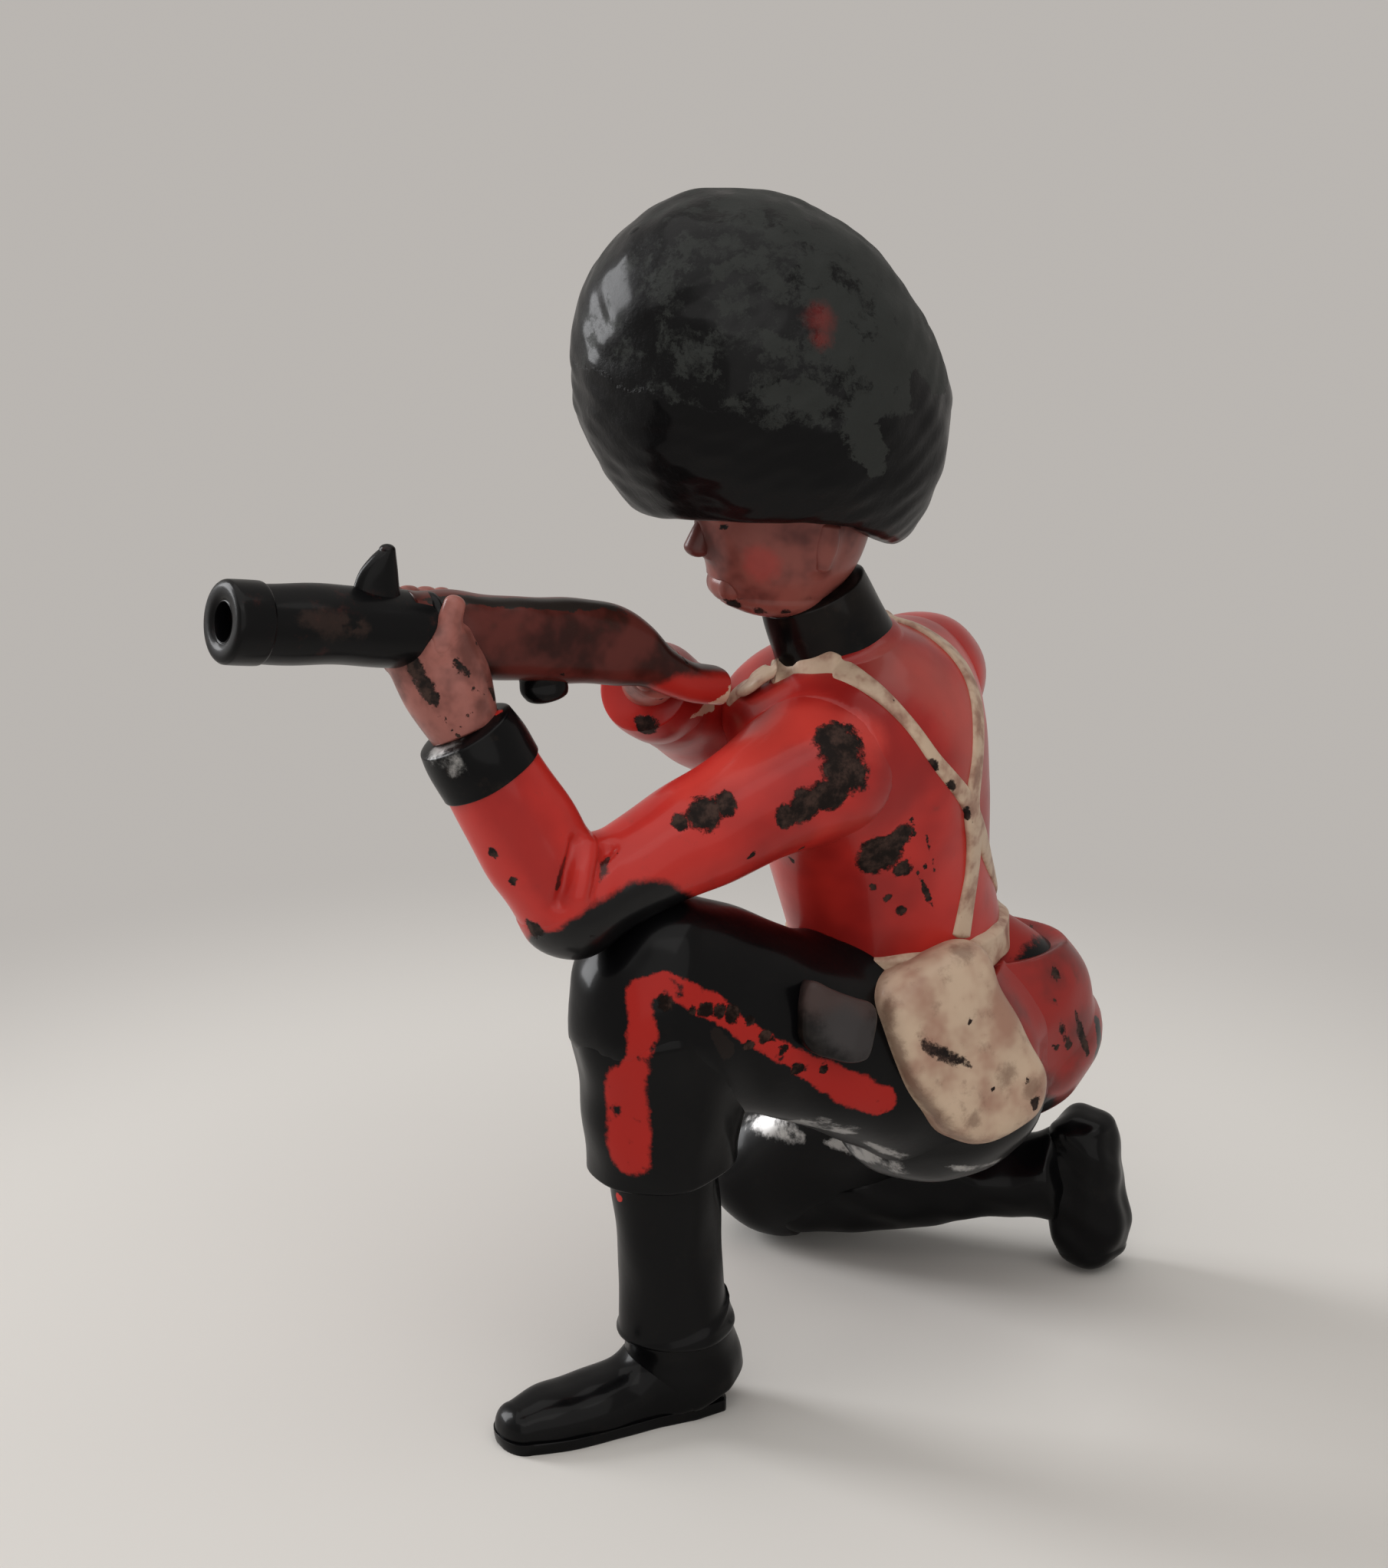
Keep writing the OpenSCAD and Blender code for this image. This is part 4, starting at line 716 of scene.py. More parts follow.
stockCoat = enamel("stockEnamel", "stock", "stockDark", {
    "chips": 0.70, "chipSize": 0.8, "patch": 1.8, "gloss": 0.1, "coat": 0.14,
    "layers": [
        {
            "hue": "topGrey", "rough": 0.8, "broken": 0.7,
            "lines": [[
                (-11.7, -6.1, 31.9, 0.25), (-9.1, -5.5, 31.45, 0.3), (-7.6, -5.3, 31.15, 0.34),
                (-6.4, -5.0, 30.95, 0.38), (-5.0, -4.5, 30.7, 0.34), (-4.3, -4.7, 30.3, 0.2)]]},
        {
            "hue": "red", "strength": 0.75, "soft": 0.4,
            "lines": [[
                (-3.4, -4.9, 27.2, 0.4), (-2.3, -4.7, 27.4, 0.6), (-1.0, -4.6, 27.1, 0.75),
                (-0.2, -4.5, 27.1, 0.8)]]},
        {
            "hue": "cream",
            "lines": [[(-0.95, -4.3, 26.55, 0.1), (-0.5, -4.35, 26.8, 0.22), (0.1, -4.4, 27.05, 0.3)]]}],
})
gunCoat = enamel("gunEnamel", "black", "black", {
    "chips": 0.76, "grimeHue": "stock", "grime": 0.3, "gloss": 0.08, "coat": 0.16, "ragged": 1.2,
    "raggedness": 0.6,
    "layers": [{
        "hue": "chipBrown", "strength": 0.4, "broken": 0.55, "rough": 1.2, "soft": 0.6,
        "lines": [
            [(-16.4, -7.6, 31.9, 0.3), (-15.6, -7.5, 31.6, 0.45), (-14.4, -7.2, 31.5, 0.3)],
            [(-14.0, -6.9, 32.5, 0.2), (-12.8, -6.6, 32.4, 0.3)]]}],
})
pouchCoat = enamel("pouchEnamel", "blackWarm", "black", {
    "chips": 0.8, "dull": 0.1, "gloss": 0.08, "coat": 0.1, "patch": 1.6,
    "layers": [
        # Partly the pouch's own brownish grey and partly a painted highlight, on black paint
        {
            "hue": "pouch", "soft": 0.6, "rough": 1.0,
            "lines": [[(1.3, -8.9, 17.0, 0.75), (2.1, -9.1, 16.7, 0.8), (2.8, -9.3, 16.3, 0.8)]]},
        {
            "hue": "pouchGrey", "soft": 0.6, "rough": 1.0,
            "lines": [[(2.2, -9.4, 15.7, 0.8), (2.8, -9.6, 15.2, 0.8)]]}],
})

# Body
torso = {
    "width": 10.6, "depth": 8.4, "dome": (0.3, 0.4),
    "table": [
        [0, 0.86, 0.9], [0.2, 0, -0.01, 0.88, 0.92], [0.45, 0, 0.02, 0.95, 1], [0.66, 0, 0.02, 1.02, 1.06],
        [0.82, 0, -0.02, 0.98, 1.04], [0.93, 0, -0.05, 0.74, 0.88], [1, 0.44, 0.56]],
}
trunk = Limb(at["waist"], at["neck"], right, torso["width"], torso["depth"], torso["table"], torso["dome"])
seat = {
    "width": 6.4, "depth": 7.8, "dome": (0.8, 0.3),
    "table": [
        [0, 0, 0.02, 0.92, 0.94], [0.35, 0, 0.06, 1, 1], [0.7, 0, 0.03, 0.9, 0.88],
        [1, 0, -0.02, 0.76, 0.74]],
    "lowOut": 0.35, "highOut": 0.24, "tilt": 0.06, "lowDrop": 0.15, "highDrop": 0.06, "farBack": 0.05,
    "skirt": 0.6, "sunk": 0.25, "fall": 40.0, "hem": 0.1, "underBelt": 0.55, "hemEdge": 0.35,
    "beltEdge": 0.3,
}


def lobe(side, grow):
    # Half of the seat, from beside the hip joint up to the waist: side is -1 on the left and 1 on the right
    wide, deep = seat["width"], seat["depth"]
    low = (
        at["seat"]
        + right * side * wide * seat["lowOut"]
        + up * deep * (seat["tilt"] * side - seat["lowDrop"])
        + back * deep * seat["farBack"] * (1 + side)
    )
    high = at["waist"] + right * side * wide * seat["highOut"] - up * deep * seat["highDrop"]
    return Limb(low, high, right, wide, deep, seat["table"], seat["dome"], grow=grow, steps=40)


sleeves = {
    "upper": 4.3, "lower": 3.7, "cuff": 1.75,
    "upperTable": [[0, 1.05, 1.1], [0.35, 0.98, 1], [0.7, 0.85, 0.84], [1, 0.8, 0.78]],
    "lowerTable": [[0, 0.82, 0.82], [0.35, 1, 1], [1, 0.94, 0.94]],
    "cuffTable": [[0, 1, 1], [0.5, 0.99, 0.99], [1, 0.93, 0.93]],
}


def armOf(side):
    # Upper sleeve, lower sleeve and cuff of one arm: the cuff is the last stretch before the wrist
    shoulder, elbow, wrist = (at[side + joint] for joint in ("Shoulder", "Elbow", "Wrist"))
    edge = wrist - unit(wrist - elbow) * sleeves["cuff"]
    wide, slim = sleeves["upper"], sleeves["lower"]
    return (
        Limb(shoulder, elbow, up, wide, wide, sleeves["upperTable"], steps=24),
        Limb(elbow, edge, up, slim, slim, sleeves["lowerTable"], (1, 0.1), steps=36),
        Limb(edge, wrist, up, slim, slim, sleeves["cuffTable"], (0.12, 0.12), steps=20),
    )


(leftArm, leftFore, leftCuff), (rightArm, rightFore, rightCuff) = armOf("left"), armOf("right")
lobes = [lobe(-1, 0), lobe(1, 0)]
skirts = [lobe(-1, seat["skirt"]), lobe(1, seat["skirt"])]

legs = {
    "leftThigh": {
        "wide": 7.2, "dome": (0.8, 0.6), "steps": 24,
        "table": [[0, 0, 0.02, 0.94, 0.8], [0.25, 0, 0.02, 0.96, 0.86], [0.6, 0.96, 0.92], [1, 1, 1]]},
    "rightThigh": {
        "wide": 7.2, "dome": (0.8, 0.6), "steps": 36,
        "table": [[0, 0.7, 0.7], [0.5, 0.86, 0.86], [1, 1, 1]]},
    "leftShin": {
        "wide": 5.6, "dome": (0.6, 0.15), "steps": 24,
        "table": [[0, 0.78, 0.78], [0.3, 0.96, 0.98], [0.6, 1, 1], [1, 0.96, 1]]},
    "rightShin": {
        "wide": 5.6, "dome": (0.8, 0.3), "steps": 24,
        "table": [[0, 0.7, 0.7], [0.25, 0.88, 0.9], [0.5, 0.8, 0.82], [1, 0.56, 0.6]]},
    "leftShaft": {
        "wide": 4.0, "dome": (0.12, 0.12), "steps": 30,
        "table": [[0, 0.96, 1], [0.8, 0.96, 0.98], [1, 1, 1.04]]},
    "leftAnkle": {"wide": 4.0, "dome": (0.2, 0.12), "steps": 20, "table": [[0, 0.98, 1.04], [1, 0.84, 0.9]]},
    "leftFoot": {
        "wide": 3.1, "tall": 3.2, "dome": (0.3, 0.7), "power": 2.4, "steps": 20,
        "table": [
            [0, 0.9, 1.5], [0.16, 0.98, 1.5], [0.34, 0.94, 1.14], [0.55, 0.98, 0.9], [0.8, 0.98, 0.82],
            [1, 0.76, 0.66]]},
    "rightFoot": {
        "wide": 3.1, "tall": 3.2, "dome": (0.5, 0.7), "power": 2.2, "steps": 24,
        "table": [
            [0, 0, 0.02, 0.86, 0.8], [0.25, 0, 0.03, 0.9, 0.98], [0.5, 0, 0.03, 0.92, 0.96],
            [0.8, 0.96, 1.05], [1, 0.86, 0.84]]},
    "heelRise": 0.8, "toeRise": 0.448, "ankleRise": 0.3, "ankleShare": 0.7, "welt": 0.08,
}


def leg(name, start, end, across, grow=0.0):
    # One stretch of a leg, with its own values
    own = legs[name]
    return Limb(start, end, across, own["wide"], own.get("tall", own["wide"]), own["table"], own["dome"],
                own.get("power", 2.0), grow, own["steps"])


foot = at["leftHeel"] + up * legs["heelRise"], at["leftToe"] + up * legs["toeRise"]
leftThigh = leg("leftThigh", at["leftKnee"], at["leftHip"], up)
rightThigh = leg("rightThigh", at["rightKnee"], at["rightHip"], up)
leftShin = leg("leftShin", at["leftKnee"], at["leftHem"], aside)
rightShin = leg("rightShin", at["rightKnee"], at["rightAnkle"], up)
leftShaft = leg("leftShaft", at["leftHem"], at["leftAnkle"], aside)
leftAnkle = leg("leftAnkle", at["leftAnkle"] + up * legs["ankleRise"],
                mix(at["leftAnkle"], at["leftHeel"], legs["ankleShare"]), aside)
leftFoot, leftSole = leg("leftFoot", *foot, aside), leg("leftFoot", *foot, aside, legs["welt"])
rightFoot = leg("rightFoot", at["rightHeel"], at["rightToe"], right)

stock = {
    "height": 2.7, "thickness": 2.2, "lap": 0.26,
    "table": [
        [0, 0.98, 0.9], [0.14, 1.04, 1], [0.35, 1.1, 1.05], [0.55, 0, 0.04, 1.08, 1],
        [0.66, -0.02, 0.02, 0.98, 0.95], [0.74, -0.1, 0, 0.82, 0.9], [0.82, -0.28, 0, 0.62, 0.84],
        [0.92, -0.42, 0, 0.48, 0.84], [1, -0.44, 0, 0.48, 0.84]],
}
rifleStock = Limb(at["barrelEnd"] - rifleAxis * stock["lap"], at["butt"], up,
                  stock["height"], stock["thickness"], stock["table"], (0.12, 0.3), 2.4)

piece("tunicBody",
      [Skin(trunk.rings(160)).meet([leftArm, rightArm], 2.4).meet([rightFore], 1.2).uneven(4.0, 0.05, 1)],
      redCoat, "tunic_red", "tunic")
folds = {
    "creases": [
        [(-7.3, -8.1, 23.4), (-7.7, -8.5, 22.6), (-8.1, -8.4, 21.5)],
        [(-6.0, -7.6, 22.9), (-6.5, -8.0, 22.3), (-6.9, -8.3, 21.6)]],
    "ridges": [[(-6.7, -7.8, 23.1), (-7.1, -8.4, 22.4), (-7.4, -8.5, 21.6)]], "width": 0.26, "depth": 0.34,
    "ridgeWidth": 0.338, "ridgeHeight": 0.238,
}
leftUpper = Skin(leftArm.rings(160)).meet([trunk], 2.4).meet([leftFore], 1.0).uneven(3.0, 0.05, 2)
leftLower = Skin(leftFore.rings(160)).meet([leftArm], 1.0).uneven(3.0, 0.05, 3)
for sleeve in (leftUpper, leftLower):
    for line in folds["creases"]:
        sleeve.crease(line, folds["width"], folds["depth"])
    for line in folds["ridges"]:
        sleeve.crease(line, folds["ridgeWidth"], -folds["ridgeHeight"])
piece("leftUpperSleeve", [leftUpper], redCoat, "tunic_red", "left_upper_sleeve")
piece("leftLowerSleeve", [leftLower], redCoat, "tunic_red", "left_lower_sleeve")
piece("rightUpperSleeve",
      [Skin(rightArm.rings(128)).meet([trunk], 2.4).meet([rightFore], 1.0).uneven(3.0, 0.05, 4)],
      redCoat, "tunic_red", "right_upper_sleeve")
piece("rightLowerSleeve", [Skin(rightFore.rings(128)).meet([trunk, rightArm], 1.0).uneven(3.0, 0.05, 5)],
      redCoat, "tunic_red", "right_lower_sleeve")
piece("leftCuffBand", [Skin(leftCuff.rings(96)).uneven(2.0, 0.03, 6)], cuffCoat, "cap_black", "left_cuff")
piece("rightCuffBand", [Skin(rightCuff.rings(96)).uneven(2.0, 0.03, 7)], redCoat, "tunic_red", "right_cuff")

# Trousers and skirt
piece("trouserSeat", [Skin(a.rings(96)).meet([b], 1.0) for a, b in (lobes, lobes[::-1])],
      seatCoat, "trousers_black", "trouser_seat")


def skirtShell(own, other):
    # The lobe's skin stands proud behind the hem's slanted plane and sinks under the trousers in front of it
    skin = Skin(own.rings(200))
    fall = math.radians(seat["fall"])
    level = math.cos(fall) * back - math.sin(fall) * up
    behind = (skin.verts - (at["waist"] - up * seat["depth"] * seat["hem"])) @ level
    under = skin.verts[:, 2] - (at["waist"][2] - seat["underBelt"])
    sink = np.minimum(smoothStep(behind / seat["hemEdge"] + 0.5), smoothStep(-under / seat["beltEdge"]))
    skin.meet([other], 1.2)
    return skin.push((seat["skirt"] + seat["sunk"]) * (sink - 1)).uneven(2.5, 0.04, 8)


piece("tunicSkirt", [skirtShell(*skirts), skirtShell(*skirts[::-1])], skirtCoat, "tunic_red", "tunic_skirt")
piece("leftThighPiece",
      [Skin(leftThigh.rings(128)).meet([leftShin, *lobes, trunk], 1.2).uneven(3.5, 0.07, 9)],
      trouserCoat, "trousers_black", "left_thigh")
piece("leftTrouserLeg", [Skin(leftShin.rings(128)).meet([leftThigh], 1.4).uneven(3.0, 0.07, 10)],
      trouserCoat, "trousers_black", "left_trouser_leg")
piece("rightThighPiece",
      [Skin(rightThigh.rings(128)).meet([rightShin, leftThigh, *lobes], 1.2).uneven(3.5, 0.07, 11).floor(0)],
      trouserCoat, "trousers_black", "right_thigh")
piece("rightTrouserLeg",
      [Skin(rightShin.rings(128)).meet([rightThigh, rightFoot], 1.2).uneven(2.2, 0.10, 12).floor(0)],
      trouserCoat, "trousers_black", "right_trouser_leg")
piece("leftBootShaft", [Skin(leftShaft.rings(112)).meet([leftAnkle], 0.6).uneven(3.0, 0.06, 13)],
      bootCoat, "boot_black", "left_gaiter")
piece("leftBoot",
      [Skin(leftFoot.rings(128)).meet([leftAnkle, leftShaft], 1.0).uneven(2.0, 0.05, 14).floor(0.42),
       Skin(leftAnkle.rings(96)).meet([leftFoot], 1.0).uneven(2.0, 0.05, 14).floor(0.42)],
      bootCoat, "boot_black", "left_boot")
piece("leftSole", [Skin(leftSole.rings(128)).floor(0, 0.47)], bootCoat, "boot_black", "left_sole")
piece("rightBoot", [Skin(rightFoot.rings(128)).meet([rightShin], 1.0).uneven(1.8, 0.09, 15).floor(0)],
      bootCoat, "boot_black", "right_boot", "right_sole")

# Rifle
piece("rifleStock", [Skin(rifleStock.rings(112)).uneven(3.0, 0.06, 16)],
      stockCoat, "stock_brown", "rifle_stock")


def lathe(start, axis, profile, around=96):
    # A closed profile of (distance along, radius) turned about an axis
    side = unit(np.cross(axis, up))
    other = np.cross(side, axis)
    rows = np.array(profile, float)
    w = np.linspace(0, 2 * np.pi, around, endpoint=False)
    turned = np.cos(w)[:, None] * side + np.sin(w)[:, None] * other
    return start + rows[:, 0][:, None, None] * axis + rows[:, 1][:, None, None] * turned


barrel = {
    "wide": 2.6, "ringWide": 2.8, "ringLong": 1.4, "bore": 1.3,
    "sight": {
        "share": 0.8, "rise": 0.9, "tall": 1.75, "lean": 0.1, "thick": 0.9, "long": 1.3,
        "table": [
            [0, 0, 0.12, 1.0, 1.3], [0.3, 0, 0.1, 0.92, 1.2], [0.6, 0, 0.15, 0.88, 1.0],
            [0.85, 0, 0.26, 0.8, 0.68], [1, 0, 0.36, 0.7, 0.42]]},
    "magazine": {
        "low": 0.42, "high": 0.4, "drop": 0.72, "thick": 0.6, "long": 0.7,
        "table": [[0, 0.8, 0.8], [0.5, 1, 1], [1, 1, 1]]},
}
gunLength = np.linalg.norm(at["barrelEnd"] - at["muzzle"])
r, ringR, boreR, ringEnd = barrel["wide"] / 2, barrel["ringWide"] / 2, barrel["bore"] / 2, barrel["ringLong"]
muzzleProfile = [
    (2.6, 0), (2.5, boreR * 0.7), (2.4, boreR), (0.3, boreR), (0.12, boreR + 0.06), (0.02, boreR + 0.2),
    (0, ringR - 0.3), (0.03, ringR - 0.14), (0.12, ringR - 0.04), (0.3, ringR), (ringEnd - 0.2, ringR),
    (ringEnd - 0.06, ringR - 0.04), (ringEnd, ringR - 0.14), (ringEnd, r * 0.5), (ringEnd, 0),
]
barrelProfile = [
    (ringEnd - 0.1, 0), (ringEnd - 0.1, r * 0.6), (ringEnd - 0.1, r - 0.05), (ringEnd + 0.1, r),
    (gunLength * 0.6, r), (gunLength + 0.3, r), (gunLength + 0.4, r * 0.9), (gunLength + 0.4, 0),
]
muzzleRing = Skin(lathe(at["muzzle"], rifleAxis, splineRows(muzzleProfile, 4)))
tube = Skin(lathe(at["muzzle"], rifleAxis, splineRows(barrelProfile, 10))).uneven(3.0, 0.05, 17)
piece("muzzleRing", [muzzleRing], gunCoat, "gunmetal", "muzzle_ring")
piece("rifleBarrel", [tube], gunCoat, "gunmetal", "rifle_barrel")
fin = barrel["sight"]
finFoot = mix(at["muzzle"], at["barrelEnd"], fin["share"]) + up * fin["rise"]
sight = Limb(finFoot, finFoot + up * fin["tall"] - forward * fin["lean"], aside,
             fin["thick"], fin["long"], fin["table"], (0.3, 0.7))
piece("rearSight", [Skin(sight.rings(64))], gunCoat, "gunmetal", "rear_sight")
lump = barrel["magazine"]
magazine = Limb(mix(at["barrelEnd"], at["butt"], lump["low"]) - up * stock["height"] * lump["drop"],
                mix(at["barrelEnd"], at["butt"], lump["high"]), aside, stock["thickness"] * lump["thick"],
                stock["height"] * lump["long"], lump["table"], (0.5, 0.12))
piece("magazineLump", [Skin(magazine.rings(64)).uneven(1.2, 0.05, 18)], blackCoat, "cap_black", "magazine")

# Hands: each is a palm and its digits, smoothly joined. Places on the rifle are (to the far side, up, along)
hands = {
    "palmTable": [[0, 0.8, 0.8], [0.5, 1.05, 1], [1, 1.1, 1]], "palmDome": (0.12, 0.5),
    "digitTable": [[0, 1, 1], [0.5, 1.02, 1.02], [1, 0.9, 0.9]], "digitDome": (0.9, 0.9),
    "pitch": 0.675, "blend": 0.5,
    "left": {
        "share": 0.06, "palmWide": 3.0, "palm": (0, -0.54, 0), "low": (1.1, -1.35, 0),
        "high": (1.36, 0.97, 0), "digits": (-1.5, -0.5, 0.5, 1.5), "thick": 0.75},
    "right": {
        "share": 0.8, "palmWide": 2.1, "palm": (0.88, -0.95, 0), "low": (1.1, -0.81, 0),
        "high": (0.22, -1.35, 0), "digits": (-1, 0, 1), "thick": 0.6},
    "thumb": {"low": (-1.21, -0.3, 0), "high": (-1.1, 1.2, 0.6), "wide": 0.86, "thick": 0.75},
}


def handOf(name, extra=()):
    # The palm from the wrist to the grip, the extra digits, then the fingers side by side along the rifle
    own = hands[name]
    wide, thick = own["palmWide"], own["thick"]
    grip = mix(at["barrelEnd"], at["butt"], own["share"])

    def spot(place, k=0):
        return grip + aside * place[0] + up * place[1] + rifleAxis * (place[2] + hands["pitch"] * k)

    def digit(low, high, width, height):
        return Limb(low, high, rifleAxis, width, height, hands["digitTable"], hands["digitDome"])

    palm = Limb(at[name + "Wrist"], spot(own["palm"]), up, wide, wide, hands["palmTable"], hands["palmDome"])
    parts = [palm] + [digit(spot(one["low"]), spot(one["high"]), one["wide"], one["thick"]) for one in extra]
    parts += [digit(spot(own["low"], k), spot(own["high"], k), thick, thick) for k in own["digits"]]
    return [Skin(one.rings(64)).meet([o for o in parts if o is not one], hands["blend"]) for one in parts]


piece("leftHand", handOf("left", [hands["thumb"]]), handCoat, "flesh", "left_hand")
piece("rightHand", handOf("right"), handCoat, "flesh", "right_hand")

# Head, collar and cap
# Lines are rows of places, then width and depth: eye hollow, brow, lid and cheek on both sides of the face,
# then the mouth and both lips in the middle
head = {
    "wide": 5.2, "table": [[0, 0, -0.02, 0.7, 0.8], [0.25, 0.9, 1.1], [0.6, 1, 1.28], [1, 1, 1.3]],
    "nose": {
        "low": (0.72, 0.56), "high": (0.40, 0.645), "size": (0.9, 0.9), "dome": (0.3, 0.7),
        "table": [[0, 0.5, 0.4], [0.6, 0.8, 0.8], [1, 1, 1]]},
    "chin": {
        "low": (0.1, 0.40, -0.09), "high": (0.1, 0.40, 0.09), "size": (1.3, 1.2), "dome": (1, 1),
        "table": [[0, 0.9, 0.9], [0.5, 1, 1], [1, 0.9, 0.9]]},
    "ear": {
        "low": (0.28, -0.1, 0.47), "high": (0.6, -0.12, 0.5), "size": (0.5, 0.9), "dome": (0.7, 0.7),
        "table": [[0, 0.9, 0.6], [0.5, 1, 1], [1, 1, 0.9]]},
    "sideLines": [
        ((0.66, 0.58, 0.10), (0.65, 0.50, 0.27), 0.42, 0.16),
        ((0.80, 0.60, 0.08), (0.80, 0.52, 0.27), 0.25, -0.12),
        ((0.66, 0.60, 0.13), (0.65, 0.54, 0.21), 0.16, -0.10),
        ((0.44, 0.50, 0.30), (0.5, 0.40, 0.38), 0.5, -0.06)],
    "mouthLines": [
        ((0.255, 0.6, -0.12), (0.255, 0.62, 0), (0.255, 0.6, 0.12), 0.10, 0.12),
        ((0.31, 0.6, -0.09), (0.31, 0.6, 0.09), 0.13, -0.10),
        ((0.20, 0.6, -0.08), (0.20, 0.6, 0.08), 0.14, -0.10)],
}
skull = Limb(at["headLow"], at["headHigh"], aside, head["wide"], head["wide"], head["table"],
             (0.5, 0.2), steps=36)


def faceAt(rise, reach, across=0.0):
    # A place on the face: share of the head's height, then shares of its width forwards and across
    middle = mix(at["headLow"], at["headHigh"], rise)
    return middle + forward * head["wide"] * reach + aside * head["wide"] * across


def feature(name, across, side=1):
    # The nose, the chin or an ear: one Limb from its low place to its high place on the face
    own = head[name]
    low, high = (faceAt(p[0], p[1], side * p[2] if len(p) == 3 else 0.0) for p in (own["low"], own["high"]))
    return Limb(low, high, across, *own["size"], own["table"], own["dome"])


nose, chin = feature("nose", aside), feature("chin", up)
ears = [feature("ear", aside, side) for side in (-1, 1)]
face = Skin(skull.rings(192)).meet([nose, chin, *ears], 0.5)
for side in (-1, 1):
    for *points, width, depth in head["sideLines"]:
        face.crease([faceAt(rise, reach, side * across) for rise, reach, across in points], width, depth)
for *points, width, depth in head["mouthLines"]:
    face.crease([faceAt(*point) for point in points], width, depth)
piece("headAndFace", [face, Skin(nose.rings(64)), Skin(chin.rings(64)), *(Skin(e.rings(48)) for e in ears)],
      fleshCoat, "flesh", "head")
neckband = {
    "wide": 4.5, "sink": 0.45, "share": 0.45, "rise": 1.1,
    "table": [[0, 1, 1.05], [0.5, 0.93, 0.98], [1, 0.86, 0.9]],
}
collar = Limb(at["neck"] - up * neckband["sink"],
              mix(at["neck"], at["headLow"], neckband["share"]) + up * neckband["rise"],
              aside, neckband["wide"], neckband["wide"], neckband["table"], (0.12, 0.15), steps=24)
piece("collarBand", [Skin(collar.rings(112)).uneven(2.0, 0.04, 19)], blackCoat, "collar_black", "collar")

cap = {
    "wide": 12.5, "long": 15.0, "lean": 40.0, "arch": 11.0, "archBack": 0.14, "archDrop": 0.31,
    "round": 0.09, "lastTilt": 88, "rows": 89,
}
lean = math.radians(cap["lean"])
halfCap = np.array([-math.sin(lean), 0, math.cos(lean)]) * cap["long"] / 2
tilts = np.radians(np.linspace(-cap["lastTilt"], cap["lastTilt"], cap["rows"]))
capTable = [[(1 + math.sin(t)) / 2, math.cos(t), math.cos(t)] for t in tilts]
bearskin = Limb(at["capCentre"] - halfCap, at["capCentre"] + halfCap, aside,
                cap["wide"], cap["wide"], capTable, (0.12, 0.12), steps=2)
furCap = Skin(bearskin.rings(240, 3))
# Over the face the cap ends on an arch: z = arch + (gap + sqrt(gap^2 + round)) / 2
archX = at["capCentre"][0] - cap["wide"] * cap["archBack"]
archZ = at["capCentre"][2] - cap["arch"] - cap["wide"] * cap["archDrop"]
arch = archZ + np.sqrt(np.maximum(cap["arch"] ** 2 - (furCap.verts[:, 0] - archX) ** 2, 0))
gap = furCap.verts[:, 2] - arch
furCap.verts[:, 2] = arch + (gap + np.sqrt(gap * gap + cap["round"])) / 2
furCap.uneven(3.6, 0.06, 20).uneven(1.2, 0.022, 21)
piece("bearskinCap", [furCap], capCoat, "cap_black", "fur_cap")


# Kit: pads on an outline, each with a crowned face
def padSkin(centre, own, around=160):
    # point = centre + across * x * scale + down * y * scale + out * rise, for each (rise, scale) layer
    out = unit(np.array(own["out"]))
    across = unit(np.array([1.0, 0, 0]) - out * out[0])
    down = np.cross(out, across)
    down = -down if down[2] > 0 else down
    size = np.array([own["wide"], own["tall"]])
    outline = loopPoints(own["outline"], around)
    rows = splineRows(own["layers"], 10)
    middle = outline.mean(0) * size
    flat = rows[:, 1][:, None, None] * (outline * size - middle) + middle
    rise = (rows[:, 0] * own["thick"])[:, None, None]
    return Skin(centre + flat[..., :1] * across + flat[..., 1:] * down + rise * out)


bag = {
    "out": (0.15, -0.96, 0.18), "wide": 7.4, "tall": 8.2, "thick": 1.5,
    "outline": [
        (-0.46, -0.28), (-0.26, -0.4), (0.08, -0.44), (0.2, -0.24), (0.38, 0.08), (0.46, 0.27), (0.36, 0.42),
        (0, 0.47), (-0.26, 0.27), (-0.41, 0.06), (-0.48, -0.14)],
    "layers": [
        (-1.4, 0), (-1.4, 0.5), (-1.4, 0.9), (0, 1), (0.45, 1.0), (0.78, 0.94), (0.97, 0.8), (1.04, 0.5),
        (1.06, 0.2), (1.06, 0)],
}
bagSkin = padSkin(at["bag"], bag).uneven(3.0, 0.07, 22)
piece("haversackBody", [bagSkin], bagCoat, "buff", "haversack", "haversack_flap")
pouch = {
    "out": (-0.1, -0.96, 0.24), "wide": 2.7, "tall": 2.7, "thick": 0.972,
    "outline": [
        (-0.42, -0.66), (0, -0.44), (0.4, -0.24), (0.45, 0.1), (0.3, 0.5), (-0.15, 0.42), (-0.53, 0.22),
        (-0.6, -0.1)],
    "layers": [
        (-1.5, 0), (-1.5, 0.5), (-1.5, 0.95), (0, 1), (0.7, 1), (0.95, 0.92), (1.05, 0.7), (1.08, 0.3),
        (1.08, 0)],
}
piece("beltPouch", [padSkin(at["pouch"], pouch, 96).uneven(1.5, 0.05, 23)],
      pouchCoat, "pouch_grey", "belt_pouch")


# Straps and belt: flat bands laid on the body
def joined(p, limbs, blend=2.4):
    # Smooth union of two skins' fields: the lesser one, less blend / 4 * (1 - difference / blend)^2
    first, second = (limb.field(p) for limb in limbs)
    near = np.clip(1 - np.abs(first - second) / blend, 0, 1)
    return np.minimum(first, second) - blend / 4 * near**2


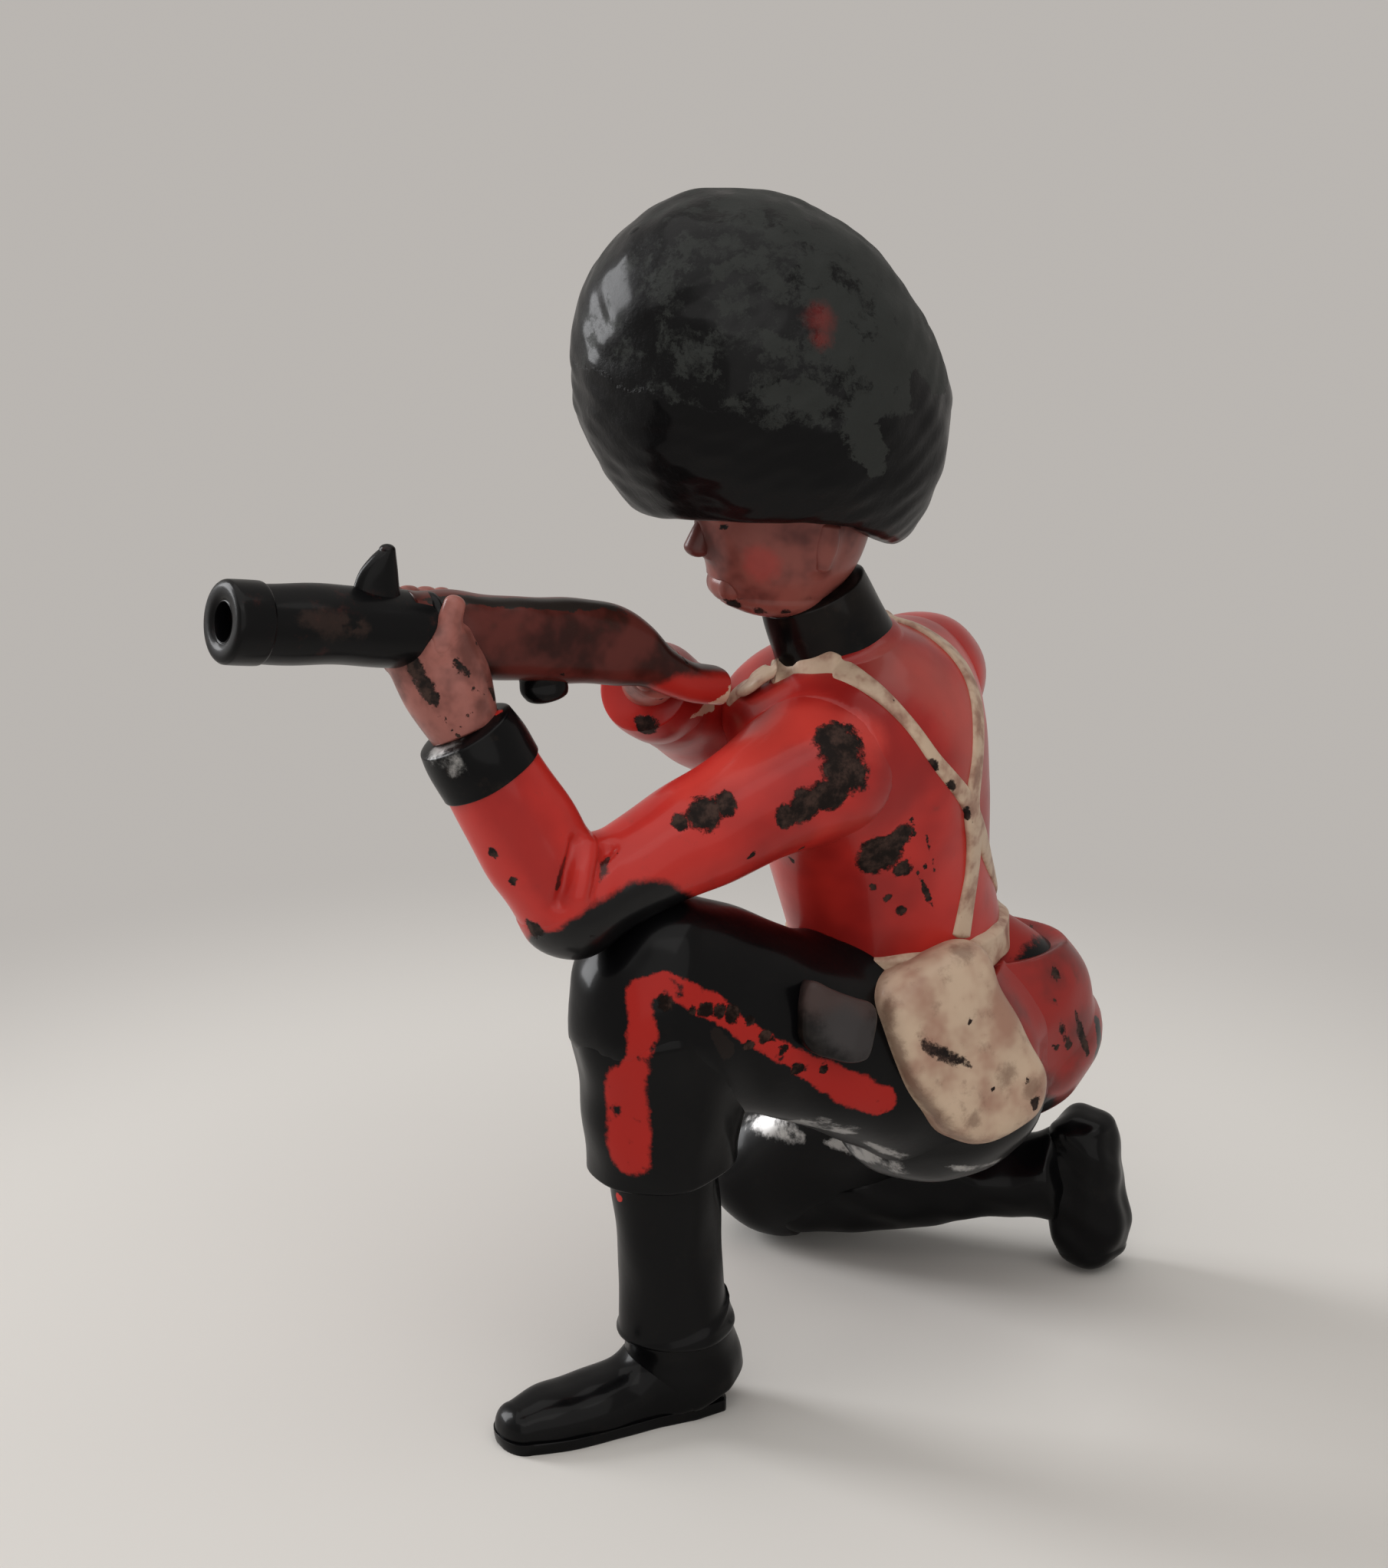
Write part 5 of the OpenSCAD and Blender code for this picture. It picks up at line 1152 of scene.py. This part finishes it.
def slope(p, limbs):
    # Outward direction of the joined field, by differences of 0.02 mm
    g = np.stack([joined(p + e, limbs) - joined(p - e, limbs) for e in np.eye(3) * 0.02], -1)
    return g / (np.linalg.norm(g, axis=-1, keepdims=True) + 1e-9)


def evened(rows):
    # Each row but the first and last becomes a quarter of both neighbours and half of itself
    return np.vstack([rows[:1], rows[:-2] / 4 + rows[1:-1] / 2 + rows[2:] / 4, rows[-1:]])


def onBody(points, limbs, steps):
    # A line through the points, each drawn onto the joined skin by stepping along the field's slope
    line = splineRows(points, steps)
    for _ in range(straps["passes"]):
        line = line - slope(line, limbs) * joined(line, limbs)[:, None]
        for _ in range(straps["evenings"]):
            line = evened(line)
    return line - slope(line, limbs) * joined(line, limbs)[:, None]


def bandRings(line, limbs, wide, thick, shares, around=40):
    # Cross-section: a rounded oblong, wide across the line and thick outwards, which thins out at both ends
    along = np.gradient(line, axis=0)
    along /= np.linalg.norm(along, axis=1, keepdims=True)
    out = slope(line, limbs)
    for _ in range(straps["outEvenings"]):
        out = evened(out)
    side = np.cross(along, out)
    side /= np.linalg.norm(side, axis=1, keepdims=True)
    out = np.cross(side, along)
    c, k = flatRound(np.linspace(0, 2 * np.pi, around, endpoint=False), *straps["powers"])
    share = np.interp(np.linspace(0, 1, len(line)), *zip(*shares))
    steps = np.arange(len(line))
    ends = np.minimum(1, np.minimum(steps, steps[::-1]) / straps["endSteps"]) ** 0.5
    across = ((wide / 2 * share * ends)[:, None] * c)[..., None] * side[:, None, :]
    return line[:, None, :] + across + ((thick * ends)[:, None] * k)[..., None] * out[:, None, :]


straps = {
    "wide": 0.95, "thick": 0.17, "powers": (0.55, 0.8), "endSteps": 3, "steps": 24, "passes": 12,
    "evenings": 6, "outEvenings": 20,
    "left": [
        (0.9, -1.7, 25.9), (1.5, -2.2, 26.45), (2.3, -3.2, 27.15), (3.2, -4.3, 27.65), (3.9, -5.1, 27.6),
        (4.4, -5.8, 27.3), (5.0, -6.6, 26.8), (5.6, -7.2, 26.0), (6.6, -7.5, 24.7), (7.5, -7.3, 23.7),
        (8.5, -6.7, 22.6), (9.6, -5.7, 20.9), (10.8, -4.4, 19.3), (11.6, -2.8, 18.0), (11.9, -1.4, 17.0)],
    "leftShares": [
        (0, 0.5), (0.07, 0.75), (0.14, 1.15), (0.21, 1.45), (0.29, 1.2), (0.36, 0.9), (0.43, 0.7),
        (0.5, 0.6), (0.57, 0.6), (0.71, 0.75), (0.8, 0.85), (1, 0.9)],
    "right": [
        (5.2, 1.6, 26.4), (6.6, 0.2, 27.8), (7.9, -1.4, 28.3), (8.8, -2.8, 28.0), (9.3, -4.1, 27.2),
        (9.5, -5.0, 26.2), (9.2, -6.0, 25.0), (8.9, -6.4, 23.6), (8.9, -6.7, 22.3), (9.2, -6.2, 21.0),
        (9.2, -5.9, 19.6), (8.9, -6.1, 18.4), (8.6, -6.5, 17.2)],
    "rightShares": [(0, 0.6), (0.2, 1.0), (1, 1.05)],
}
for side in ("left", "right"):
    laid = onBody(straps[side], [trunk, leftArm], straps["steps"])
    band = Skin(bandRings(laid, [trunk, leftArm], straps["wide"], straps["thick"], straps[side + "Shares"]))
    piece(side + "CrossStrap", [band], strapCoat, "buff", side + "_cross_strap")
waistBelt = {"half": 0.5, "stand": 0.3, "table": [[0, 0.87, 0.91], [1, 0.87, 0.91]]}
belt = Limb(at["waist"] - up * waistBelt["half"], at["waist"] + up * waistBelt["half"], right, torso["width"],
            torso["depth"], waistBelt["table"], (0.12, 0.12), grow=waistBelt["stand"])
piece("waistBelt", [Skin(belt.rings(160)).uneven(1.5, 0.04, 24)], strapCoat, "buff", "waist_belt")

# Floor, backdrop and light
stage = {
    "floor": (0.70, 0.675, 0.64), "wall": (0.49, 0.465, 0.44), "near": 30.0, "far": 62.0, "fill": 0.26,
    "fillColour": (1, 0.98, 0.96), "reach": 3.0, "aim": (0, 0, 20),
}


def cameraRays(nodes, links):
    # 1 for rays that the camera, a glossy surface or a clear one sends out, 0 for the rest
    path = nodes.new("ShaderNodeLightPath")
    seen = path.outputs["Is Camera Ray"]
    for ray in ("Is Glossy Ray", "Is Transmission Ray"):
        either = nodes.new("ShaderNodeMath")
        either.operation = "MAXIMUM"
        links.new(seen, either.inputs[0])
        links.new(path.outputs[ray], either.inputs[1])
        seen = either.outputs[0]
    return seen


def floorPaint():
    # Paper that takes the figure's shadow, and turns into an even backdrop by a smooth step of the distance
    paint = Paint("floorPaper")
    nodes, links = paint.tree.nodes, paint.tree.links
    paint.feed(paint.shader.inputs["Base Color"], (*stage["floor"], 1.0))
    paint.feed(paint.shader.inputs["Roughness"], 0.9)
    paint.feed(paint.shader.inputs["Specular IOR Level"], 0.1)
    away = paint.node("ShaderNodeVectorMath", {"operation": "LENGTH"}, paint.place, out=1)
    paper = paint.node("ShaderNodeEmission", {}, (*stage["wall"], 1.0), 1.0)
    share = away.between(stage["near"], stage["far"]) * Socket(paint, cameraRays(nodes, links))
    joined = nodes.new("ShaderNodeMixShader")
    paint.feed(joined.inputs[0], share)
    links.new(paint.shader.outputs[0], joined.inputs[1])
    links.new(paper.link, joined.inputs[2])
    links.new(joined.outputs[0], nodes["Material Output"].inputs[0])
    return paint.material


reach = stage["reach"]
sheet = bpy.data.meshes.new("floorSheet")
corners = [(-reach, -reach, 0), (reach, -reach, 0), (reach, reach, 0), (-reach, reach, 0)]
sheet.from_pydata(corners, [], [(0, 1, 2, 3)])
sheet.materials.append(floorPaint())
ground = bpy.data.objects.new("floorSheet", sheet)
bpy.context.scene.collection.objects.link(ground)

world = bpy.data.worlds.new("studio")
bpy.context.scene.world = world
world.use_nodes = True
nodes, links = world.node_tree.nodes, world.node_tree.links
paper = nodes.new("ShaderNodeBackground")
paper.inputs[0].default_value = (*stage["wall"], 1)
fill = nodes["Background"]
fill.inputs[0].default_value = (*stage["fillColour"], 1)
fill.inputs[1].default_value = stage["fill"]
choose = nodes.new("ShaderNodeMixShader")
links.new(cameraRays(nodes, links), choose.inputs[0])
links.new(fill.outputs[0], choose.inputs[1])
links.new(paper.outputs[0], choose.inputs[2])
links.new(choose.outputs[0], nodes["World Output"].inputs[0])

lamps = {
    "windowLight": {
        "place": (-260, 265, 160), "size": 0.13, "tall": 0.26, "watts": 1.1, "colour": (0.97, 0.98, 1)},
    "skyLight": {
        "place": (-60, -60, 420), "size": 0.60, "tall": 0.60, "watts": 1.1, "colour": (1, 0.99, 0.97)},
    "frontLight": {
        "place": (-60, -400, 190), "size": 0.60, "tall": 0.60, "watts": 0.70, "colour": (1, 0.98, 0.96)},
}
for name, lamp in lamps.items():
    data = bpy.data.lights.new(name, "AREA")
    data.shape = "RECTANGLE"
    data.size, data.size_y = lamp["size"], lamp["tall"]
    data.energy, data.color = lamp["watts"], lamp["colour"]
    obj = bpy.data.objects.new(name, data)
    obj.location = place = Vector(lamp["place"]) * mm
    obj.rotation_euler = (Vector(stage["aim"]) * mm - place).to_track_quat("-Z", "Y").to_euler()
    bpy.context.scene.collection.objects.link(obj)
print("floor and lamps made")

# Camera at the photograph's angle
view = {
    "azimuth": -22.5, "elevation": 16.5, "distance": 111.6, "target": (-0.81, -2.84, 23.3), "focal": 4000.0,
    "tall": 2044, "sensor": 36, "nearest": 0.005, "farthest": 10,
}
azimuth, elevation = math.radians(view["azimuth"]), math.radians(view["elevation"])
level = math.cos(elevation)
backwards = np.array([math.sin(azimuth) * level, -math.cos(azimuth) * level, math.sin(elevation)])

eye = bpy.data.cameras.new("photoCamera")
eye.sensor_width = view["sensor"]
eye.lens = view["sensor"] * view["focal"] / view["tall"]
eye.clip_start, eye.clip_end = view["nearest"], view["farthest"]
camera = bpy.data.objects.new("photoCamera", eye)
camera.location = (np.array(view["target"]) + backwards * view["distance"]) * mm
camera.rotation_euler = Vector(-backwards).to_track_quat("-Z", "Y").to_euler()
bpy.context.scene.collection.objects.link(camera)
bpy.context.scene.camera = camera
bpy.context.scene.view_settings.view_transform = "Standard"
